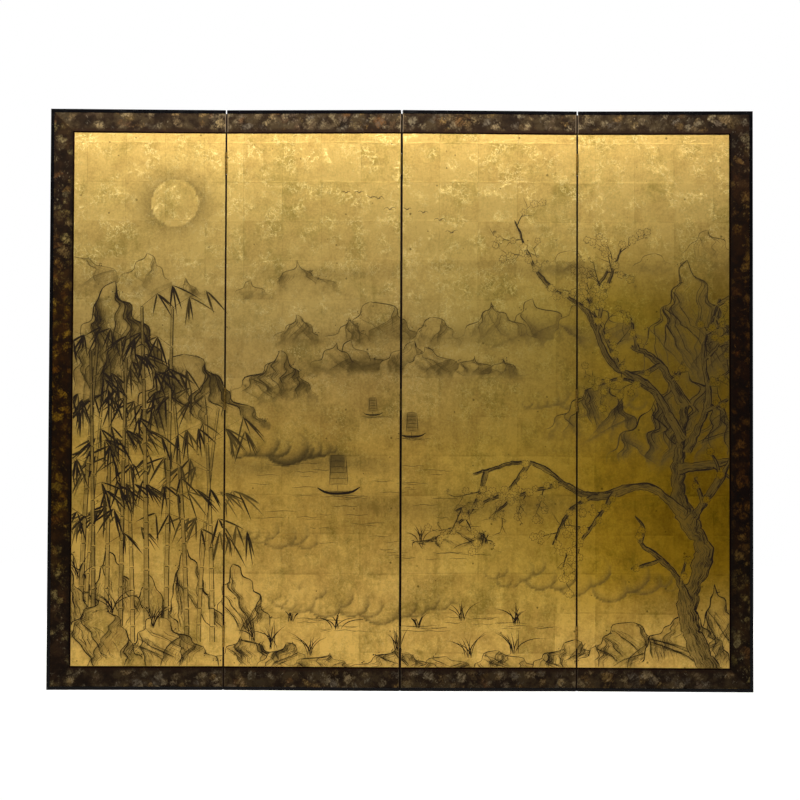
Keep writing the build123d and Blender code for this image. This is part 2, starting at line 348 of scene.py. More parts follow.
@dataclass(frozen=True)
class GildedPaper:
    """Squares of gold leaf on paper, laid with a lap, with brown-black ink where the mesh says so."""

    square: float = 102 * MM
    sway: Drift = Drift(5.0, 0.01)
    lap: Step = Step(0.055, 0.022)
    ragged: Step = Step(0.4, 0.62, 0.0, 0.4)
    gold: Colour = tint(228, 194, 113)
    worn: tuple[Colour, Colour] = (tint(178, 148, 82), tint(156, 134, 68))
    patches: Grain = Grain(11.0, 4.0, 0.6)
    patched: Step = Step(0.42, 0.6)
    fine: Grain = Grain(170.0, 5.0, 0.7)
    clouds: Grain = Grain(24.0, 6.0, 0.65)
    cloud_drift: Drift = Drift(20.0, 0.03)
    streaks: Grain = Grain(1.0, 4.0, 0.6)
    streak_scale: Point = (60.0, 1.0, 18.0)
    broad: Grain = Grain(5.0, 2.0)
    wear_level: float = 0.4
    # of the clouds, the fine grain, the streaks, each square's own tone and the broad clouds
    wear_weights: tuple[float, ...] = (2.0, 1.6, 0.9, 0.55, 0.9)
    # painted highlight: the pale colour drawn along the creases, mostly high up
    crease: Colour = tint(252, 230, 160)
    veins: Grain = Grain(60.0, 4.0, 0.65)
    vein_drift: Drift = Drift(30.0, 0.02)
    vein: Step = Step(0.022, 0.0)
    creased: Grain = Grain(22.0, 3.0)
    crease_patch: Step = Step(0.44, 0.6, 0.0, 0.75)
    crease_height: Step = Step(0.4, 1.0, 0.4, 1.0)
    speck_scale: float = 42.0
    speck_size: Step = Step(0.6, 1.0, 0.0, 0.13)
    speck_strength: float = 0.7
    # smoke tone and painted shade by height: the leaf darker and browner half way up than at the top and the
    # foot
    smoke_and_painted_shade: Stops = (
        (0.0, (0.94, 0.87, 0.7)),
        (0.18, (0.93, 0.85, 0.66)),
        (0.3, (0.78, 0.7, 0.46)),
        (0.42, (0.8, 0.73, 0.48)),
        (0.54, (0.74, 0.71, 0.67)),
        (0.64, (0.73, 0.73, 0.72)),
        (0.74, (0.8, 0.8, 0.77)),
        (0.84, (0.88, 0.88, 0.84)),
        (0.95, (0.96, 0.93, 0.9)),
    )
    # stain and painted shade across the screen: the leaf darker and browner towards the right
    glaze_and_painted_shade: Stops = (
        (0.5, (1.0, 1.0, 1.0)),
        (0.6, (0.92, 0.94, 0.8)),
        (0.71, (0.78, 0.78, 0.5)),
        (0.79, (0.66, 0.62, 0.2)),
        (0.88, (0.43, 0.39, 0.09)),
        (0.94, (0.37, 0.33, 0.07)),
    )
    glaze_and_shade_foot: Step = Step(0.04, 0.22)
    glaze_and_shade_head: Step = Step(0.86, 0.62)
    ink: Colour = tint(30, 21, 10)
    thin_ink: Colour = tint(98, 80, 38)
    dry: Pair = (0.5, 0.75)
    thinned: Step = Step(0.0, 0.5)
    blackened: Step = Step(0.32, 0.78)
    metal: Pair = (-0.9, 1.0)
    rough: Pair = (0.1, 0.42)
    ink_rough: float = 0.3
    flake_scale: float = 55.0
    flake_drift: Drift = Drift(60.0, 0.02)
    fine_share: float = 0.35
    cloud_relief: Relief = Relief(0.0008)
    flake_relief: Relief = Relief(0.0003, 0.5)
    lap_relief: Relief = Relief(0.00025, 0.6)
    shine: float = 0.15

    def material(self) -> bpy.types.Material:
        """Mixes the gold and the ink.

        Returns:
            The finished material.
        """
        mixing = Recipe.of_material("gilded_paper")
        where = mixing.place()
        axes = mixing.axes(mixing.drifted(where, self.sway))
        column = mixing.maths("DIVIDE", axes["X"], self.square)
        row = mixing.maths("DIVIDE", axes["Z"], self.square)
        laps = self.laps(mixing, column, row)
        fine = mixing.noise(where, self.fine)
        clouds = mixing.noise(mixing.drifted(where, self.cloud_drift), self.clouds)
        wear = self.wear(mixing, where, clouds, fine, self.squares(mixing, column, row))
        worn = mixing.mix(mixing.step(mixing.noise(where, self.patches), self.patched), *self.worn)
        leaf = mixing.mix(wear, self.gold, worn)
        leaf = mixing.mix(mixing.maths("MULTIPLY", laps, mixing.step(clouds, self.ragged)), leaf, worn)
        creases_and_highlights = self.creases_and_highlights(mixing, where)
        # painted highlight along the creases
        leaf = mixing.mix(creases_and_highlights, leaf, self.crease)
        leaf = mixing.mix(self.specks(mixing, where), leaf, self.thin_ink)
        # smoke tone and painted shade laid over the leaf
        leaf = self.smoked_and_shaded(mixing, leaf, mixing.axes(where))
        ink = mixing.node("Attribute", attribute_name="ink").outputs["Fac"]
        ink = mixing.maths("MULTIPLY", ink, mixing.scaled(fine, *self.dry), clamp=True)
        washed = mixing.mix(mixing.step(ink, self.thinned), leaf, self.thin_ink)
        colour = mixing.mix(mixing.step(ink, self.blackened), washed, self.ink)
        leaf_rough, ink_rough = mixing.scaled(wear, *self.rough), mixing.scaled(ink, self.ink_rough)
        rough = mixing.maths("ADD", leaf_rough, ink_rough, clamp=True)
        flaked = {"Vector": mixing.drifted(where, self.flake_drift), "Scale": self.flake_scale}
        flakes = mixing.node("TexVoronoi", flaked).outputs["Distance"]
        crumpled = mixing.maths("ADD", clouds, mixing.scaled(fine, self.fine_share))
        normal = mixing.bump(crumpled, self.cloud_relief)
        normal = mixing.bump(flakes, self.flake_relief, normal)
        normal = mixing.bump(mixing.maths("MAXIMUM", laps, creases_and_highlights), self.lap_relief, normal)
        metal = mixing.scaled(ink, *self.metal)
        sockets = {"Base_Color": colour, "Metallic": metal, "Roughness": rough, "Normal": normal}
        return mixing.finish(**sockets, Specular_IOR_Level=self.shine)

    def smoked_and_shaded(self, mixing: Recipe, leaf: Socket, flat: Outputs) -> Socket:
        """The leaf under a smoke tone that is partly painted shade, darker half way up, and under a brown
        glaze that is partly painted shade, deepest half way up the right-hand side.

        Args:
            mixing: the material.
            leaf: the colour of the clean leaf.
            flat: the place's three values.

        Returns:
            The stained colour.
        """
        height = mixing.maths("DIVIDE", flat["Z"], LEAF_HEIGHT)
        across = mixing.scaled(flat["X"], 1 / (len(LEAVES) * LEAF_PITCH), 0.5)
        low, high = mixing.step(height, self.glaze_and_shade_foot), mixing.step(height, self.glaze_and_shade_head)
        glaze_and_painted_shade = mixing.mix(mixing.maths("MULTIPLY", low, high), WHITE, mixing.palette(across, self.glaze_and_painted_shade))
        return mixing.stained(mixing.stained(leaf, mixing.palette(height, self.smoke_and_painted_shade)), glaze_and_painted_shade)

    def wear(self, mixing: Recipe, where: Socket, clouds: Socket, fine: Socket, tone: Socket) -> Socket:
        """How worn the leaf is.

        Args:
            mixing: the material.
            where: the place on the screen.
            clouds: a cloudy value.
            fine: a fine-grained one.
            tone: each square's own value.

        Returns:
            A value from 0 to 1.
        """
        streaks = mixing.noise(mixing.place(self.streak_scale), self.streaks)
        broad = mixing.noise(where, self.broad)
        first, *others = zip((clouds, fine, streaks, tone, broad), self.wear_weights)
        total = mixing.scaled(*first, self.wear_level - sum(self.wear_weights) / 2)
        for value, weight in others:
            total = mixing.maths("ADD", total, mixing.scaled(value, weight))
        return mixing.maths("MINIMUM", mixing.maths("MAXIMUM", total, 0.0), 1.0)

    def creases_and_highlights(self, mixing: Recipe, where: Socket) -> Socket:
        """Where the leaf is creased, in patches of short lines, fewer lower down; the pale colour drawn along
        them is a painted highlight.

        Args:
            mixing: the material.
            where: the place on the screen.

        Returns:
            A value from 0 to 1.
        """
        veins = mixing.noise(mixing.drifted(where, self.vein_drift), self.veins)
        line = mixing.step(mixing.maths("ABSOLUTE", mixing.scaled(veins, 1.0, -0.5)), self.vein)
        patch = mixing.step(mixing.noise(where, self.creased), self.crease_patch)
        high = mixing.step(mixing.axes(where)["Z"], self.crease_height)
        return mixing.maths("MULTIPLY", line, mixing.maths("MULTIPLY", patch, high))

    def specks(self, mixing: Recipe, where: Socket) -> Socket:
        """Small dark specks, here and there.

        Args:
            mixing: the material.
            where: the place on the screen.

        Returns:
            How dark the speck is, from 0 to 1.
        """
        cells = mixing.node("TexVoronoi", {"Vector": where, "Scale": self.speck_scale})
        size = mixing.step(mixing.chance(cells)[0], self.speck_size)
        return mixing.scaled(mixing.maths("LESS_THAN", cells.outputs["Distance"], size), self.speck_strength)

    def squares(self, mixing: Recipe, column: Socket, row: Socket) -> Socket:
        """A value from 0 to 1 for each square of leaf.

        Args:
            mixing: the material.
            column: how many squares along the place is.
            row: how many squares up it is.

        Returns:
            The value.
        """
        corner = {"X": mixing.maths("FLOOR", column), "Z": mixing.maths("FLOOR", row)}
        cell = mixing.node("CombineXYZ", corner).outputs[0]
        return mixing.node("TexWhiteNoise", {"Vector": cell}).outputs["Value"]

    def laps(self, mixing: Recipe, column: Socket, row: Socket) -> Socket:
        """Where two squares lie over each other, along the edges of every square."""
        edges = [mixing.step(mixing.maths("FRACT", axis), self.lap) for axis in (column, row)]
        return mixing.maths("MAXIMUM", *edges)


@dataclass(frozen=True)
class MottledPaper:
    """Near-black brown paper dabbed with olive, tan and grey, under a varnish gone brown in places; on the
    right-hand strip that darkening is partly painted shade.

    How the dabs are torn, and their lobes, are counted in dabs instead of metres.
    """

    name: str
    run: Run
    varnish_and_shade: Stops = ((0.0, WHITE),)
    cover: float = 0.05
    ground: tuple[Colour, ...] = (tint(20, 12, 6), tint(35, 24, 14), tint(58, 46, 28), tint(38, 32, 26))
    ground_stops: tuple[float, ...] = (0.32, 0.47, 0.6, 0.74)
    ground_clouds: Grain = Grain(26.0, 6.0, 0.7)
    dab: float = 40 * MM
    # the size and the turn of each layer's dabs
    layers: tuple[Pair, ...] = ((0.75, math.radians(32.0)), (1.0, math.radians(-38.0)))
    dabs: tuple[Colour, ...] = (
        tint(102, 88, 60),
        tint(124, 108, 82),
        tint(114, 86, 42),
        tint(98, 88, 70),
        tint(140, 122, 90),
        tint(118, 94, 50),
        tint(90, 60, 32),
        tint(88, 78, 64),
    )
    torn: Drift = Drift(1.6, 0.6, 4.0)
    layer_shift: Pair = (0.37, 0.91)
    dab_scale: Point = (1.0, 0.0, 1.35)
    scatter: float = 0.85
    lobes: Grain = Grain(5.0, 5.0, 0.75)
    lobe_reach: float = 1.1
    body: Step = Step(1.1, 0.8)
    cover_fade: float = 0.45
    hairs: Grain = Grain(1.0, 4.0, 0.75)
    hair_scale: Point = (190.0, 1.0, 75.0)
    hairy: Step = Step(0.38, 0.58, 0.1, 1.0)
    glint: Colour = tint(162, 148, 122)
    glinting: Step = Step(0.57, 0.7, 0.0, 0.6)
    # painted highlight: the pale edge of each leaf at a seam, where light from above catches it
    seam_edge_highlight: Colour = tint(112, 98, 78)
    edge_highlight_reach: Step = Step(0.0048, 0.0034)
    edge_highlight_height: Step = Step(0.0, 1.0, 0.2, 0.7)
    seam: Step = Step(0.0028, 0.002, 0.0, 0.9)
    rim: Colour = tint(34, 19, 9)
    rim_reach: Pair = (0.021, 0.009)
    rim_clouds: Grain = Grain(60.0, 4.0, 0.7)
    rim_wander: float = 0.014
    rim_strength: float = 0.9
    tooth: Grain = Grain(300.0, 5.0, 0.7)
    tooth_relief: Relief = Relief(0.0005, 0.7)
    rough: Pair = (0.25, 0.5)
    shine: float = 0.06

    def material(self) -> bpy.types.Material:
        """Mixes the layers of dabs over the ground, the varnish, the dark rim and the worn edges.

        Returns:
            The finished material.
        """
        mixing = Recipe.of_material(self.name)
        flat = mixing.axes(mixing.place())
        stops = tuple(zip(self.ground_stops, self.ground))
        colour = mixing.palette(mixing.noise(mixing.place(), self.ground_clouds), stops)
        for number, (size, turn) in enumerate(self.layers):
            colour = self.layer(mixing, colour, self.dab * size, turn, number)
        height = mixing.maths("DIVIDE", flat["Z"], LEAF_HEIGHT)
        # varnish by height, which on the right-hand strip is partly painted shade
        colour = mixing.stained(colour, mixing.palette(height, self.varnish_and_shade))
        colour = mixing.mix(self.rimmed(mixing, flat), colour, self.rim)
        if self.run is Run.ACROSS:
            to_seam = mixing.maths("PINGPONG", flat["X"], LEAF_PITCH / 2)
            # a painted highlight along each seam's edge, stronger higher up
            edge, upward = mixing.step(to_seam, self.edge_highlight_reach), mixing.step(height, self.edge_highlight_height)
            colour = mixing.mix(mixing.maths("MULTIPLY", edge, upward), colour, self.seam_edge_highlight)
            colour = mixing.mix(mixing.step(to_seam, self.seam), colour, self.rim)
        tooth = mixing.noise(mixing.place(), self.tooth)
        normal = mixing.bump(tooth, self.tooth_relief)
        rough = mixing.scaled(tooth, *self.rough)
        return mixing.finish(Base_Color=colour, Roughness=rough, Normal=normal, Specular_IOR_Level=self.shine)

    def rimmed(self, mixing: Recipe, flat: Outputs) -> Socket:
        """How much darker the strip is along its inner edge, next to the bead.

        Args:
            mixing: the material.
            flat: the place's three values.

        Returns:
            A value from 0 to 1.
        """
        half = (LEAF_HEIGHT if self.run is Run.ACROSS else len(LEAVES) * LEAF_PITCH) / 2
        if self.run is Run.ACROSS:
            away = mixing.maths("ABSOLUTE", mixing.scaled(flat["Z"], 1.0, -half))
        else:
            away = mixing.maths("ABSOLUTE", flat["X"])
        inner = half - BORDER_INSET
        ragged = mixing.scaled(mixing.noise(mixing.place(), self.rim_clouds), self.rim_wander, away)
        far, near = self.rim_reach
        return mixing.step(ragged, Step(inner + far, inner + near, 0.0, self.rim_strength))

    def layer(self, mixing: Recipe, under: Socket, size: float, turn: float, number: int) -> Socket:
        """One layer of dabs.

        Args:
            mixing: the material.
            under: the colour below.
            size: from one dab to the next.
            turn: which way the dabs lie.
            number: the layer's number, which shifts it.

        Returns:
            The colour with the dabs on it.
        """
        where = mixing.place(turn=turn)
        torn = mixing.drifted(where, Drift(self.torn.scale / size, self.torn.reach * size, self.torn.detail))
        across, up = (number * step for step in self.layer_shift)
        shift = {"Vector": torn, "Location": (across, 0.0, up), "Scale": self.dab_scale}
        shifted = mixing.node("Mapping", shift).outputs[0]
        cells = mixing.node("TexVoronoi", {"Vector": shifted, "Scale": 1 / size, "Randomness": self.scatter})
        chance = mixing.chance(cells)
        stops = [(n / len(self.dabs), colour) for n, colour in enumerate(self.dabs)]
        lobes = mixing.noise(where, Grain(self.lobes.scale / size, self.lobes.detail, self.lobes.rough))
        body = mixing.step(mixing.scaled(lobes, self.lobe_reach, cells.outputs["Distance"]), self.body)
        hairs = mixing.noise(mixing.place(self.hair_scale, turn), self.hairs)
        share = mixing.maths("MULTIPLY", body, mixing.step(hairs, self.hairy))
        covered = mixing.step(chance[1], Step(self.cover, self.cover + self.cover_fade))
        share = mixing.maths("MULTIPLY", share, covered)
        dabbed = mixing.mix(share, under, mixing.palette(chance[0], stops))
        glints = mixing.maths("MULTIPLY", body, mixing.step(hairs, self.glinting))
        return mixing.mix(glints, dabbed, self.glint)


@dataclass(frozen=True)
class Lacquer:
    """Deep gloss lacquer with a little dust and faint rubbing marks."""

    name: str
    colour: Colour = tint(5, 5, 7)
    rubbed: Colour = tint(15, 14, 16)
    shine: float = 0.1
    rubs: Grain = Grain(30.0, 6.0, 0.7)
    rubbing: Step = Step(0.5, 0.8)
    rub_rough: float = 0.2
    rub_share: float = 0.6
    dust: Grain = Grain(900.0, 3.0, 0.7)
    rough: Pair = (0.12, 0.2)
    waves: Grain = Grain(45.0, 2.0)
    wave_relief: Relief = Relief(0.0002, 0.5)

    def material(self) -> bpy.types.Material:
        """Mixes the lacquer.

        Returns:
            The finished material.
        """
        mixing = Recipe.of_material(self.name)
        where = mixing.place()
        rub = mixing.step(mixing.noise(where, self.rubs), self.rubbing)
        dust = mixing.noise(where, self.dust)
        rough = mixing.scaled(rub, self.rub_rough, mixing.scaled(dust, *self.rough))
        normal = mixing.bump(mixing.noise(where, self.waves), self.wave_relief)
        colour = mixing.mix(mixing.maths("MULTIPLY", rub, self.rub_share), self.colour, self.rubbed)
        return mixing.finish(Base_Color=colour, Roughness=rough, Normal=normal, Specular_IOR_Level=self.shine)


@dataclass(frozen=True)
class AgedBrass:
    """Brass gone olive, brighter where it is handled."""

    name: str
    bright: Colour = tint(150, 120, 58)
    dull: Colour = tint(76, 60, 24)
    age: Grain = Grain(220.0, 5.0, 0.65)
    aged: Step = Step(0.35, 0.7)
    age_rough: float = 0.2
    scratches: Grain = Grain(1.0, 2.0)
    scratch_scale: Point = (900.0, 900.0, 60.0)
    rough: Pair = (0.15, 0.25)
    scratch_relief: Relief = Relief(0.00005, 0.5)

    def material(self) -> bpy.types.Material:
        """Mixes the brass.

        Returns:
            The finished material.
        """
        mixing = Recipe.of_material(self.name)
        age = mixing.step(mixing.noise(mixing.place(), self.age), self.aged)
        scratches = mixing.noise(mixing.place(self.scratch_scale), self.scratches)
        rough = mixing.scaled(age, self.age_rough, mixing.scaled(scratches, *self.rough))
        normal = mixing.bump(scratches, self.scratch_relief)
        colour = mixing.mix(age, self.bright, self.dull)
        return mixing.finish(Base_Color=colour, Metallic=1.0, Roughness=rough, Normal=normal)


@dataclass(frozen=True)
class Timber:
    """Straight-grained softwood, plain or stained."""

    name: str
    run: Run
    early: Colour
    late: Colour
    along: float = 2.5
    athwart: float = 90.0
    grain: Grain = Grain(1.0, 4.0, 0.6)
    pores: Grain = Grain(9.0, 2.0)
    pore_share: float = 0.25
    level: float = -0.12
    ringed: Step = Step(0.3, 0.7)
    rough: Pair = (0.2, 0.55)
    pore_relief: Relief = Relief(0.0002, 0.6)
    shine: float = 0.15

    def material(self) -> bpy.types.Material:
        """Mixes the grain.

        Returns:
            The finished material.
        """
        mixing = Recipe.of_material(self.name)
        ends = (self.athwart, self.along) if self.run is Run.UPRIGHT else (self.along, self.athwart)
        where = mixing.place((ends[0], self.athwart, ends[1]))
        grain = mixing.noise(where, self.grain)
        pores = mixing.noise(where, self.pores)
        rings = mixing.scaled(pores, self.pore_share, mixing.maths("ADD", grain, self.level))
        colour = mixing.mix(mixing.step(rings, self.ringed), self.early, self.late)
        normal = mixing.bump(pores, self.pore_relief)
        rough = mixing.scaled(grain, *self.rough)
        return mixing.finish(Base_Color=colour, Roughness=rough, Normal=normal, Specular_IOR_Level=self.shine)


@dataclass(frozen=True)
class BackPaper:
    """Dark crumpled handmade paper, with long pale fibres pressed into it."""

    colour: Colour = tint(44, 34, 26)
    raised: Colour = tint(66, 52, 38)
    clouds: Grain = Grain(9.0, 5.0, 0.6)
    clouded: Step = Step(0.35, 0.65)
    # painted shade in the creases
    crease_shade: Colour = tint(20, 15, 11)
    torn: Drift = Drift(14.0, 0.09, 5.0)
    crease_scale: float = 20.0
    crease: Step = Step(0.09, 0.0)
    patches: Grain = Grain(19.0, 4.0, 0.6)
    patched: Step = Step(0.4, 0.62, 0.1, 1.0)
    crease_shade_share: float = 0.8
    fibre: Colour = tint(112, 92, 62)
    strands: Grain = Grain(1.0, 6.0, 0.8)
    strand_scale: Point = (70.0, 70.0, 70.0)
    strand_turn: float = 0.5
    strand: Step = Step(0.009, 0.0)
    strand_share: float = 0.6
    tooth: Grain = Grain(500.0, 3.0)
    rough: Pair = (0.2, 0.65)
    crease_relief: Relief = Relief(0.0015, 0.7)
    tooth_relief: Relief = Relief(0.0002, 0.5)

    def material(self) -> bpy.types.Material:
        """Mixes the paper.

        Returns:
            The finished material.
        """
        mixing = Recipe.of_material("back_paper")
        where = mixing.place()
        cells = {"Vector": mixing.drifted(where, self.torn), "Scale": self.crease_scale}
        edge = mixing.node("TexVoronoi", cells, feature="DISTANCE_TO_EDGE").outputs["Distance"]
        patch = mixing.step(mixing.noise(where, self.patches), self.patched)
        crease = mixing.maths("MULTIPLY", mixing.step(edge, self.crease), patch)
        cloud = mixing.noise(where, self.clouds)
        strands = mixing.noise(mixing.place(self.strand_scale, self.strand_turn), self.strands)
        strand = mixing.step(mixing.maths("ABSOLUTE", mixing.scaled(strands, 1.0, -0.5)), self.strand)
        colour = mixing.mix(mixing.step(cloud, self.clouded), self.colour, self.raised)
        # painted shade: darker along the creases
        colour = mixing.mix(mixing.scaled(crease, self.crease_shade_share), colour, self.crease_shade)
        colour = mixing.mix(mixing.scaled(strand, self.strand_share), colour, self.fibre)
        normal = mixing.bump(mixing.scaled(crease, -1.0), self.crease_relief)
        normal = mixing.bump(mixing.noise(where, self.tooth), self.tooth_relief, normal)
        return mixing.finish(Base_Color=colour, Roughness=mixing.scaled(cloud, *self.rough), Normal=normal)


class Taper(Enum):
    """How the width of a brush stroke runs from its start to its end."""

    LINE = "thinner at both ends"
    LEAF = "swells early and ends in a point"
    TAIL = "starts full and thins out"
    DOT = "one touch of the brush"
    BAR = "even, with blunt ends"

    def widths(self, way: np.ndarray) -> np.ndarray:
        """The width along a stroke.

        Args:
            way: shares of the way along it, from 0 to 1.

        Returns:
            The share of the full width at each of them.
        """
        swell = np.sin(np.pi * way)
        if self is Taper.LINE:
            return 0.35 + 0.65 * swell**0.6
        if self is Taper.LEAF:
            return np.sin(np.pi * way**0.7) ** 0.9 + 0.04
        if self is Taper.TAIL:
            return np.minimum(1.0, 0.45 + 6 * way) * (1.03 - way) ** 0.7
        if self is Taper.DOT:
            return swell**0.5 + 0.1
        return np.ones_like(way)


@dataclass(frozen=True)
class Stroke:
    """A brush stroke that nothing nearer hides: its middle line, half widths along it, and its ink."""

    path: np.ndarray
    halves: np.ndarray
    ink: float


def flowing(knots: Iterable[Spot], steps: int = 8) -> np.ndarray:
    """A smooth path through a few knots.

    Args:
        knots: the points that it passes.
        steps: how many points it has from one knot to the next.

    Returns:
        Its points, in rows.
    """
    points = np.array(list(knots), float)
    held = np.vstack([2 * points[0] - points[1], points, 2 * points[-1] - points[-2]])
    way = np.linspace(0, 1, steps, endpoint=False)[:, None]
    parts = [
        b + 0.5 * ((c - a) * way + (2 * a - 5 * b + 4 * c - d) * way**2 + (3 * b - a - 3 * c + d) * way**3)
        for a, b, c, d in zip(held, held[1:], held[2:], held[3:])
    ]
    return np.vstack([*parts, points[-1:]])


def even(path: np.ndarray, step: float) -> np.ndarray:
    """Moves a path's points along it, so that they are an even step apart.

    Args:
        path: its points, in rows.
        step: about how far apart they are to be.

    Returns:
        The new points, in rows.
    """
    runs = np.hypot(*np.diff(path, axis=0).T)
    reached = np.concatenate([[0.0], np.cumsum(runs)])
    stops = np.linspace(0, reached[-1], max(3, round(reached[-1] / step) + 1))
    return np.column_stack([np.interp(stops, reached, axis) for axis in path.T])


def circle(middle: Spot | np.ndarray, radius: float, corners: int, oval: float = 1.0) -> np.ndarray:
    """A closed ring.

    Args:
        middle: its middle.
        radius: half its height.
        corners: how many sides it has.
        oval: its width as a share of its height.

    Returns:
        Its points in rows, the last on the first.
    """
    turns = np.linspace(0, 2 * math.pi, corners + 1)
    return np.array(middle) + radius * np.column_stack([oval * np.cos(turns), np.sin(turns)])


@dataclass
class Picture:
    """The painting laid out flat: its strokes, its washes, and what is taken by things that are nearer.

    It is painted from the nearest thing to the farthest. The washes, the ink round the strokes (haze) and
    what is taken are kept for every cell.
    """

    width: float
    height: float
    cell: float = 3.0
    section: float = 13.0
    finest: float = 0.25
    darkest: float = 0.42
    billow: float = 1.25
    rng: np.random.Generator = field(default_factory=lambda: np.random.default_rng(7))
    strokes: list[Stroke] = field(default_factory=list)
    wash: np.ndarray = field(init=False)
    haze: np.ndarray = field(init=False)
    taken: np.ndarray = field(init=False)

    def __post_init__(self) -> None:
        """Starts on clear gold."""
        shape = (int(self.height / self.cell) + 2, int(self.width / self.cell) + 2)
        self.wash, self.haze = np.zeros(shape), np.zeros(shape)
        self.taken = np.zeros(shape, bool)

    def cells(self, path: np.ndarray) -> tuple[np.ndarray, np.ndarray]:
        """The cell that each point is in, or the nearest.

        Args:
            path: points of the painting, in rows.

        Returns:
            The cells' rows and their columns.
        """
        held = np.rint(path / self.cell).astype(int)
        rows, columns = self.taken.shape
        return held[:, 1].clip(0, rows - 1), held[:, 0].clip(0, columns - 1)

    def draw(self, path: Iterable[Spot], width: float, ink: float, taper: Taper = Taper.LINE) -> None:
        """Lays a stroke wherever nothing nearer hides it.

        Args:
            path: its middle line.
            width: its full width.
            ink: from 0, clear, to 1, black.
            taper: how its width runs.
        """
        dense = even(np.array(list(path), float), self.cell)
        way = np.linspace(0, 1, len(dense))
        halves = np.maximum(taper.widths(way) * width / 2, self.finest)
        rows, columns = self.cells(dense)
        free = ~self.taken[rows, columns]
        np.add.at(self.haze, (rows[free], columns[free]), ink * width / self.cell)
        edges = np.flatnonzero(np.diff(np.concatenate([[0], free, [0]])))
        for first, last in zip(edges[::2], edges[1::2]):
            count = max(3, math.ceil((last - first) * self.cell / self.section) + 2)
            if last - first >= 2:
                picked = np.linspace(first, last - 1, min(count, last - first + 1))
                points = np.column_stack([np.interp(picked, range(len(dense)), axis) for axis in dense.T])
                self.strokes.append(Stroke(points, np.interp(picked, range(len(dense)), halves), ink))

    def inside(self, outline: np.ndarray) -> Cells:
        """The cells inside an outline.

        Args:
            outline: its corners, in rows.

        Returns:
            The window of cells round it, and which of them it holds.
        """
        corners = outline / self.cell
        rows, columns = self.taken.shape
        low = np.floor(corners.min(0)).astype(int).clip(0, (columns - 1, rows - 1))
        high = np.ceil(corners.max(0) + 1).astype(int).clip(1, (columns, rows))
        across, up = np.meshgrid(np.arange(low[0], high[0]), np.arange(low[1], high[1]))
        held = np.zeros(across.shape, bool)
        for (u0, v0), (u1, v1) in zip(corners, np.roll(corners, -1, 0)):
            if v0 != v1:
                held ^= ((v0 > up) != (v1 > up)) & (across < u0 + (up - v0) * (u1 - u0) / (v1 - v0))
        return (slice(low[1], high[1]), slice(low[0], high[0])), held

    def cover(self, cells: Cells, ink: np.ndarray) -> None:
        """Washes the cells that are still free, and takes them all.

        Args:
            cells: the window of cells, and which of them are meant.
            ink: the wash for each cell of the window.
        """
        window, held = cells
        fresh = held & ~self.taken[window]
        self.wash[window] = np.where(fresh, np.maximum(self.wash[window], ink), self.wash[window])
        self.taken[window] |= held

    def fill(self, outline: np.ndarray, foot_ink: float, top_ink: float, mist: float = 0.0) -> None:
        """A wash inside an outline, which hides what is painted after it.

        Args:
            outline: its edge.
            foot_ink, top_ink: the ink at its lowest and its highest point.
            mist: the share of its height, from the foot, that has no more ink than the foot.
        """
        window, held = self.inside(outline)
        foot, top = outline[:, 1].min(), outline[:, 1].max()
        up = np.arange(window[0].start, window[0].stop)[:, None] * self.cell
        ink = np.interp(up, (foot + mist * (top - foot), top), (foot_ink, top_ink))
        self.cover((window, held), ink)

    def flank(self, line: np.ndarray, within: Cells, reach: float, ink: float, side: int) -> None:
        """A wash that is crisp along a falling line and fades to one side of it.

        Args:
            line: points from the top down.
            within: the window and the cells that it keeps to.
            reach: how far it takes to fade.
            ink: how dark it is along the line.
            side: 1 to the right of the line, or -1 to its left.
        """
        window, held = within
        up = np.arange(window[0].start, window[0].stop) * self.cell
        across = np.arange(window[1].start, window[1].stop) * self.cell
        edge = np.interp(up, line[::-1, 1], line[::-1, 0])
        way = (up - line[-1, 1]) / max(line[0, 1] - line[-1, 1], 1.0)
        level = ink * np.clip(4 * way, 0, 1) * (way <= 1) * (0.8 + 0.35 * self.rng.random(len(up)))
        away = side * (across - edge[:, None])
        beside = held & (away > -0.5 * self.cell) & ~self.taken[window]
        shade = np.where(beside, level[:, None] * np.exp(-np.abs(away) / reach), 0.0)
        deep = np.maximum(self.wash[window], self.darkest)
        self.wash[window] = np.minimum(1 - (1 - self.wash[window]) * (1 - shade), deep)

    def puff(self, middle: Spot, radius: float, ink: float) -> None:
        """A round billow of mist, shaded inside its lower edge, that hides what is behind it.

        Args:
            middle: its middle.
            radius: half its height.
            ink: how dark its lower edge is.
        """
        window, held = self.inside(circle(middle, radius, 24, self.billow))
        up = np.arange(window[0].start, window[0].stop)[:, None] * self.cell - middle[1]
        across = np.arange(window[1].start, window[1].stop) * self.cell - middle[0]
        away = np.hypot(across / self.billow, up) / radius
        self.cover((window, held), ink * away**3 * np.clip(0.75 - 0.7 * up / radius, 0, 1))

    def shade(self, middle: Spot, size: Spot, ink: float, over: bool = False) -> None:
        """A soft wash with no edge.

        Args:
            middle: its middle.
            size: its reach across and up.
            ink: how dark its middle is.
            over: whether it also covers whatever is painted already.
        """
        rows, columns = self.taken.shape
        across = (np.arange(columns) * self.cell - middle[0]) / size[0]
        up = (np.arange(rows)[:, None] * self.cell - middle[1]) / size[1]
        self.wash += np.where(self.taken & (not over), 0.0, ink * np.exp(-(across**2) - up**2))

    def soaked(self, reach: float = 5.0, share: float = 0.1) -> np.ndarray:
        """The washes, with the paper darkened a little round the strokes.

        Args:
            reach: how far the ink of a stroke creeps.
            share: how dark it can get there.

        Returns:
            A value from 0 to 1 for each cell.
        """
        taps = np.arange(-round(2 * reach / self.cell), round(2 * reach / self.cell) + 1)
        weights = np.exp(-((taps * self.cell / reach) ** 2))
        weights /= weights.sum()
        blurred = self.haze
        for axis in (0, 1):
            blurred = np.apply_along_axis(np.convolve, axis, blurred, weights, "same")
        return 1 - (1 - self.wash.clip(0, 1)) * (1 - share * blurred.clip(0, 1))


class Motif(Protocol):
    """Anything that can be painted on the picture."""

    def paint(self, picture: Picture) -> None:
        """Paints it behind whatever is painted already."""


